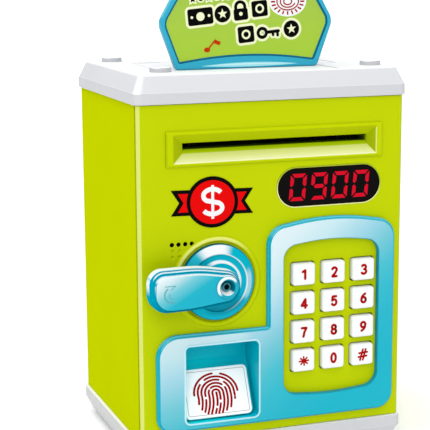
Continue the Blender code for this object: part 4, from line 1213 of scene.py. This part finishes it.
def build_lever():
    f, bz = LEVER_FRONT, KNOB_Z + 0.4
    rim = raised(LEVER_BACK, ((0.15, 0.0), (0.03, -0.4), (0.0, -1.0)))
    rim += raised(f, ((0.0, 1.5), (0.04, 1.05), (0.12, 0.95), (0.2, 1.2), (0.28, 1.35), (0.36, 1.2),
                      (0.44, 0.8), (0.52, 0.8), (0.6, 1.2), (0.68, 1.35), (0.84, 1.3), (0.92, 0.9),
                      (0.97, 0.3), (1.03, 0.08), (1.12, 0.0)))
    body = loft([[at(x, y, z) for x, z in lever_outline(t)] for t, y in rim])
    hub = ((6.2, LEVER_BACK - 0.6), (6.1, LEVER_BACK + 1.4), (6.0, -55.5), (5.8, -51.5))
    boss = raised(f, ((5.6, 1.2), (5.25, -0.1), (5.05, -0.75), (4.7, -0.98), (4.4, -1.0), (3.0, -1.0)))
    for z, profile in ((KNOB_Z, hub), (bz, boss)):
        body = carved(body, [turned(KNOB_X, z, profile, 64, closed=False)], "UNION")
    well = raised(f, ((2.2, 2.4), (2.6, 1.4), (3.3, -0.2), (3.6, -0.7), (4.0, -1.02), (4.1, -2)))
    bore = turned(KNOB_X, KNOB_Z, [(2.6, -60.0), (2.6, -50.0)], 36, closed=False)
    body = carved(body, [turned(KNOB_X, bz, well, 48, closed=False), bore])

    def pick(x, y, z, normal):
        if math.hypot(x - KNOB_X, z - bz) < 5.4 and y < LEVER_BACK - 1.0:
            return 2
        return int(abs(y - f) < 0.05)

    lever = piece(body, "lever", "lever", "knob", "turquoise", "knob_lever", crease=40)
    refinish(lever, ("lever_face", "boss"), pick)
    head = raised(f, ((2.15, 2.35), (2.15, 2.0), (2.0, 1.3), (1.85, 1.05), (1.7, 0.95), (1.4, 0.98),
                      (1.25, 1.15), (0.2, 1.2)))
    head = piece(turned(KNOB_X, bz, head, 40, closed=False), "lever_screw", "dark_steel", "knob", "steel",
                 "knob_screw")
    # the screw's middle takes the painted shade of screw_pit
    refinish(head, ("screw_pit",), lambda x, y, z, normal: int(math.hypot(x - KNOB_X, z - bz) < 1.3))
    cx, cz = -54.1, KNOB_Z - 0.9
    paths = [arc(0, 0, 3.5, 285, 125, 16), arc(0.3, -0.2, 1.6, 270, 150, 8), [(-3.2, 4.0), (1.7, 4.0)],
             [(1.7, 4.0), (-0.7, 2.2)]]
    marks = [stroke([(cx + x, cz + z) for x, z in path], width, f - 0.01, f - lift)
             for path, width, lift in zip(paths, (0.6, 0.45, 0.35, 0.3), (0.06, 0.05, 0.055, 0.065))]
    piece(joined(marks), "lever_arrow", "ink_arrow", "knob", "label")


# ---- sign

SIGN_X, SIGN_Y0, SIGN_Y1 = -4.4, -28.0, -24.4


def mirrored(corners):
    """Whole outline from the corners of its right half, bottom first."""
    return [(SIGN_X + x, CAP_TOP + z, r) for x, z, r in corners] + [
        (SIGN_X - x, CAP_TOP + z, r) for x, z, r in reversed(corners)]


def build_sign():
    y = SIGN_Y0
    outer = fillet(mirrored([(34.9, 0.05, 2.2), (42.8, 21.5, 7.0), (32.4, 39.9, 8.0)]), 12)
    corners = mirrored([(33.0, 3.0, 1.2), (40.7, 21.5, 6.5), (31.2, 37.1, 6.0)])
    corners[-1] = (SIGN_X - 33.6, CAP_TOP + 2.9, 1.2)       # the opening is wider at its lower left
    inner = fillet(corners + [(SIGN_X, CAP_TOP + 7.6, 190.0)], 12)
    recess = fillet(mirrored([(33.0, 3.4, 1.5), (39.4, 21.2, 5.0), (30.4, 36.7, 5.5)]), 10)
    rim = raised(SIGN_Y1, ((0.5, 0.0), (0.12, -0.15), (0.0, -0.5)))
    rim += raised(y, ((0.0, 0.9), (0.1, 0.45), (0.4, 0.1), (0.9, 0.0)))
    front = plate(inner, raised(y, ((0.0, 2.15), (0.0, 0.35), (-0.1, 0.12), (-0.35, 0.0), (-0.4, -1))))
    back = plate(recess, raised(SIGN_Y1, ((0.4, -0.6), (0.0, -0.2), (-0.3, 1.0))))

    def pick(x, y, z, normal):
        # inner walls of the frame take painted shade
        inwards = normal.x * (x - SIGN_X) + normal.z * (z - CAP_TOP - 20.0) < 0.0
        return int(abs(normal.y) < 0.8 and inwards)

    sign = piece(carved(plate(outer, rim), [front, back]), "sign_body", "sign_frame", "cabinet",
                 "turquoise", "sign_frame", crease=40)
    refinish(sign, ("sign_wall",), pick)
    card = plate(inner, raised(y, ((0.1, 2.1), (0.1, 0.85), (0.25, 0.7))))
    piece(card, "sign_card", "sign_card", "cabinet", "sign_face", "sign_panel", crease=60)
    # a painted shade line along the card's edge
    edge = plate(inner, raised(y, ((0.05, 0.72), (0.05, 0.62), (0.8, 0.62), (0.8, 0.72))), closed=True)
    piece(edge, "sign_card_edge", "sign_wall", "cabinet", "turquoise", crease=60)
    # two lens-shaped painted highlights on the frame's lower edge
    for name, look, bulge, sink, half, height, lift in (
            ("sign_shine", "shine", 1.25, 0.75, 24.0, 1.55, 0.03),
            ("sign_shine_line", "shine_white", 0.45, -0.05, 20.0, 1.75, 0.05)):
        top = [(x, height + bulge * (1 - (x / half) ** 2)) for x in spread(half, -half, 17)]
        low = [(x, height - sink * (1 - (x / half) ** 2)) for x in spread(-half, half, 17)]
        lens = [(SIGN_X + 1 + x, CAP_TOP + z) for x, z in low + top[1:-1]]
        piece(slab(lens, y + 0.3, y - lift), name, look, "cabinet", "white")
    build_pictograms(y + 0.69)


def star(r, inner=0.42):
    return [(k * math.cos(a), k * math.sin(a)) for k, a in
            ((r if i % 2 == 0 else r * inner, math.radians(90 + 36 * i)) for i in range(10))]


def build_pictograms(y):
    """Generic signs of money and safekeeping: notes, coins, a padlock, a key, a strongbox, a tune."""
    black, light, halo = [], [], []
    lean = math.radians(5.5)

    def placed(points, x, z, turn=lean):
        c, s = math.cos(turn), math.sin(turn)
        return [(SIGN_X + x + u * c - v * s, CAP_TOP + z + u * s + v * c) for u, v in points]

    def layer(points, pile, lift):
        pile.append(slab(points, y + 0.02, y - lift))

    def solid(shape, x, z, margin=1.15):
        layer(inset(placed(shape, x, z), -margin), halo, 0.03 + 0.0005 * len(halo))
        layer(placed(shape, x, z), black, 0.07)

    def drawn(path, width, x, z):
        line = placed(path, x, z)
        halo.append(stroke(line, width + 2.3, y + 0.02, y - 0.03 - 0.0005 * len(halo)))
        black.append(stroke(line, width, y + 0.02, y - 0.07 - 0.001 * len(black)))

    def lit(shape, x, z):
        layer(placed(shape, x, z), light, 0.11)

    def note(x, z, w, h):
        solid(centred(0, 0, w, h, 1.1, 5), x, z)
        lit(circle(0, 0, h * 0.52, 28), x, z)
        for side in (-1, 1):
            lit(circle(side * w * 0.68, 0, h * 0.17, 16), x, z)

    def coin(x, z, r):
        solid(circle(0, 0, r, 40), x, z)
        lit(star(r * 0.62), x, z)

    def padlock(x, z, k):
        shackle = oval(0, 1.6 * k, 2.0 * k, 2.0 * k, 175, 5, 10)
        drawn([(-2.0 * k, 0.4 * k), (-2.0 * k, 1.6 * k)] + shackle
              + [(2.0 * k, 1.6 * k), (2.0 * k, 0.4 * k)], 1.3 * k, x, z)
        solid(rounded(-3.1 * k, 3.1 * k, -3.9 * k, 0.9 * k, 0.9 * k, 5), x, z)
        lit(circle(0, -1.3 * k, 0.8 * k, 20), x, z)

    def key_sign(x, z, k):
        drawn(oval(-2.6 * k, 0, 1.9 * k, 1.9 * k, 0, 360, 28), 1.4 * k, x, z)
        for u0, u1, v1, width in ((-0.6, 5.0, 0, 1.4), (4.4, 4.4, -1.9, 1.2), (2.3, 2.3, -1.5, 1.2)):
            drawn([(u0 * k, 0), (u1 * k, v1 * k)], width * k, x, z)

    def strongbox(x, z, k):
        solid(centred(0, 0, 3.6 * k, 3.4 * k, 0.9 * k, 5), x, z)
        lit(circle(0, 0, 2.0 * k, 28), x, z)
        layer(placed(circle(0, 0, 1.15 * k, 24), x, z), black, 0.15)

    note(-22.9, 24.1, 6.1, 3.8)
    for sign, x, z, size in ((coin, -12.2, 25.1, 3.9), (padlock, -3.4, 26.4, 1.12),
                             (strongbox, 6.0, 27.2, 1.08), (strongbox, -0.7, 15.5, 1.1),
                             (key_sign, 10.1, 16.3, 1.08), (coin, 21.9, 17.6, 3.9)):
        sign(x, z, size)
    for i in range(9):
        solid(circle(0, 0, 1.2, 20) if i % 2 else star(1.7, 0.5), -26.6 + 3.9 * i, 31.9 + 0.32 * i, 0.7)
    piece(joined(halo), "sign_halos", "ink_halo", "cabinet", "sign_face")
    piece(joined(black), "sign_marks", "ink_black", "cabinet", "label")
    piece(joined(light), "sign_mark_holes", "ink_halo", "cabinet", "sign_face")

    def tune(points):
        return placed(points, -17.3, 10.9, 0)

    def dial(points):
        return placed(points, 20.0, 30.2, 0)

    head, flag = oval(-2.5, -2.0, 1.5, 1.1, 0, 360, 20)[:-1], [(4.2, 1.5), (3.5, -0.1), (1.0, 0.9),
                                                               (1.2, 2.7)]
    marks = [stroke(tune([(-2.1, -1.9), (1.5, 2.4)]), 0.75, y, y - 0.05), slab(tune(head), y, y - 0.06),
             slab(tune(flag), y, y - 0.065)]
    piece(joined(marks), "sign_tune", "ink_orange", "cabinet", "label_red")
    squash = 0.72
    marks = [stroke(dial(oval(0, 0, r, r * squash, a0, a1, 30)), 0.6, y, y - 0.05 - 0.003 * i)
             for i, (r, a0, a1) in enumerate(((2.0, 0, 360), (3.7, 20, 340), (5.4, 0, 360)))]
    for a in (math.radians(18 * k) for k in range(20)):
        ray = [(r * math.cos(a), r * squash * math.sin(a)) for r in (6.5, 8.1)]
        marks.append(stroke(dial(ray), 0.75, y, y - 0.05))
    piece(slab(dial(oval(0, 0, 9.3, 6.9, 0, 360, 48)[:-1]), y + 0.02, y - 0.02), "sign_dial_halo",
          "ink_white", "cabinet", "sign_face")
    piece(joined(marks), "sign_dial", "ink_print", "cabinet", "label_red")


# ---- inner works: CAD nodes with their own finishes

def build_inner_works():
    for look, bevel, names in (
            ("white", 0.4, "inner_cover battery_lid"), ("dark", 0.3, "display_module speaker feeder_frame"),
            ("steel", 0.2, "solenoid keeper latch_cam lock_plunger hinge_pin_top hinge_pin_bottom"),
            ("steel", 0.12, "feed_motor lid_screw cover_screw_1 cover_screw_2 cover_screw_3"),
            ("roller", 0.1, "feed_roller_upper feed_roller_lower"), ("white", 0.1, "motor_pinion"),
            ("grey_rubber", 0.1, "keypad_mat"), ("board", 0.1, "keypad_pcb main_pcb"),
            ("grey", 0.2, "knob_shaft"), ("cell", 0.3, "cell_1 cell_2 cell_3")):
        for name in names.split():
            materials = nodes[name].data.materials
            materials.clear()
            materials.append(LOOK[look])
            soften(nodes[name], bevel)


# ---- stage, light, camera

def build_stage():
    size = 40.0
    bm = bmesh.new()
    corners = [(-size, -size), (size, -size), (size, size), (-size, size)]
    bm.faces.new([bm.verts.new((x, y, 0.0)) for x, y in corners])
    floor = as_object(bm, "floor")
    n = Nodes("floor_paper")
    n.set(Base_Color=n.ramp(n.noise(3.0), [(0.3, srgb(253, 253, 253)), (0.7, srgb(255, 255, 255))]),
          Roughness=0.9, Emission_Color=(1.0, 1.0, 1.0, 1.0), Emission_Strength=0.06)
    floor.data.materials.append(n.mat)


def soft_light(name, toward, power, angle):
    data = bpy.data.lights.new(name, "SUN")
    data.energy, data.angle = power, math.radians(angle)
    obj = bpy.data.objects.new(name, data)
    obj.rotation_mode = "QUATERNION"
    obj.rotation_quaternion = Vector(toward).to_track_quat("Z", "Y")
    bpy.context.collection.objects.link(obj)


STUDIO, BACKDROP = 0.44, 1.0      # strength of the white studio as a light, and as it is seen


def build_lights():
    """A white studio that lights the bank evenly, a wide light overhead and one from the upper left."""
    world = bpy.data.worlds.new("studio")
    world.use_nodes = True
    tree = world.node_tree
    dim = tree.nodes["Background"]
    white, path, mix = (tree.nodes.new("ShaderNode" + kind)
                        for kind in ("Background", "LightPath", "MixShader"))
    for background, strength in ((dim, STUDIO), (white, BACKDROP)):
        background.inputs["Color"].default_value = (1.0, 1.0, 1.0, 1.0)
        background.inputs["Strength"].default_value = strength
    tree.links.new(path.outputs["Is Camera Ray"], mix.inputs["Fac"])
    tree.links.new(dim.outputs["Background"], mix.inputs[1])
    tree.links.new(white.outputs["Background"], mix.inputs[2])
    tree.links.new(mix.outputs["Shader"], tree.nodes["World Output"].inputs["Surface"])
    bpy.context.scene.world = world
    soft_light("overhead", (-0.2, -0.12, 0.97), 2.15, 80)
    soft_light("front_left", (-0.28, -0.8, 0.52), 0.89, 30)


def build_camera():
    """Seen from the front left and a little above, with a portrait lens."""
    yaw, pitch, roll = math.radians(19.49), math.radians(10.58), math.radians(-0.34)
    forward = Vector((math.sin(yaw) * math.cos(pitch), math.cos(yaw) * math.cos(pitch), -math.sin(pitch)))
    level = Vector((math.cos(yaw), -math.sin(yaw), 0.0))
    rise = level.cross(forward)
    right = level * math.cos(roll) + rise * math.sin(roll)
    up = rise * math.cos(roll) - level * math.sin(roll)
    data = bpy.data.cameras.new("camera")
    data.lens, data.sensor_width = 115.96, 36.0      # millimetres
    obj = bpy.data.objects.new("camera", data)
    matrix = Matrix((right, up, -forward)).transposed().to_4x4()
    matrix.translation = at(-233.77, -629.01, 219.22 + Z0)
    obj.matrix_world = matrix
    bpy.context.collection.objects.link(obj)
    bpy.context.scene.camera = obj


bpy.context.scene.view_settings.view_transform = "Standard"
LOOK = build_materials()
for build in (build_camera, build_lights, build_stage, build_shell, build_cap, build_base, build_coin_slot,
              build_door, build_slot_frame, build_display, build_badge, build_bezel, build_keys, build_pad,
              build_dial, build_lever, build_sign, build_inner_works):
    build()
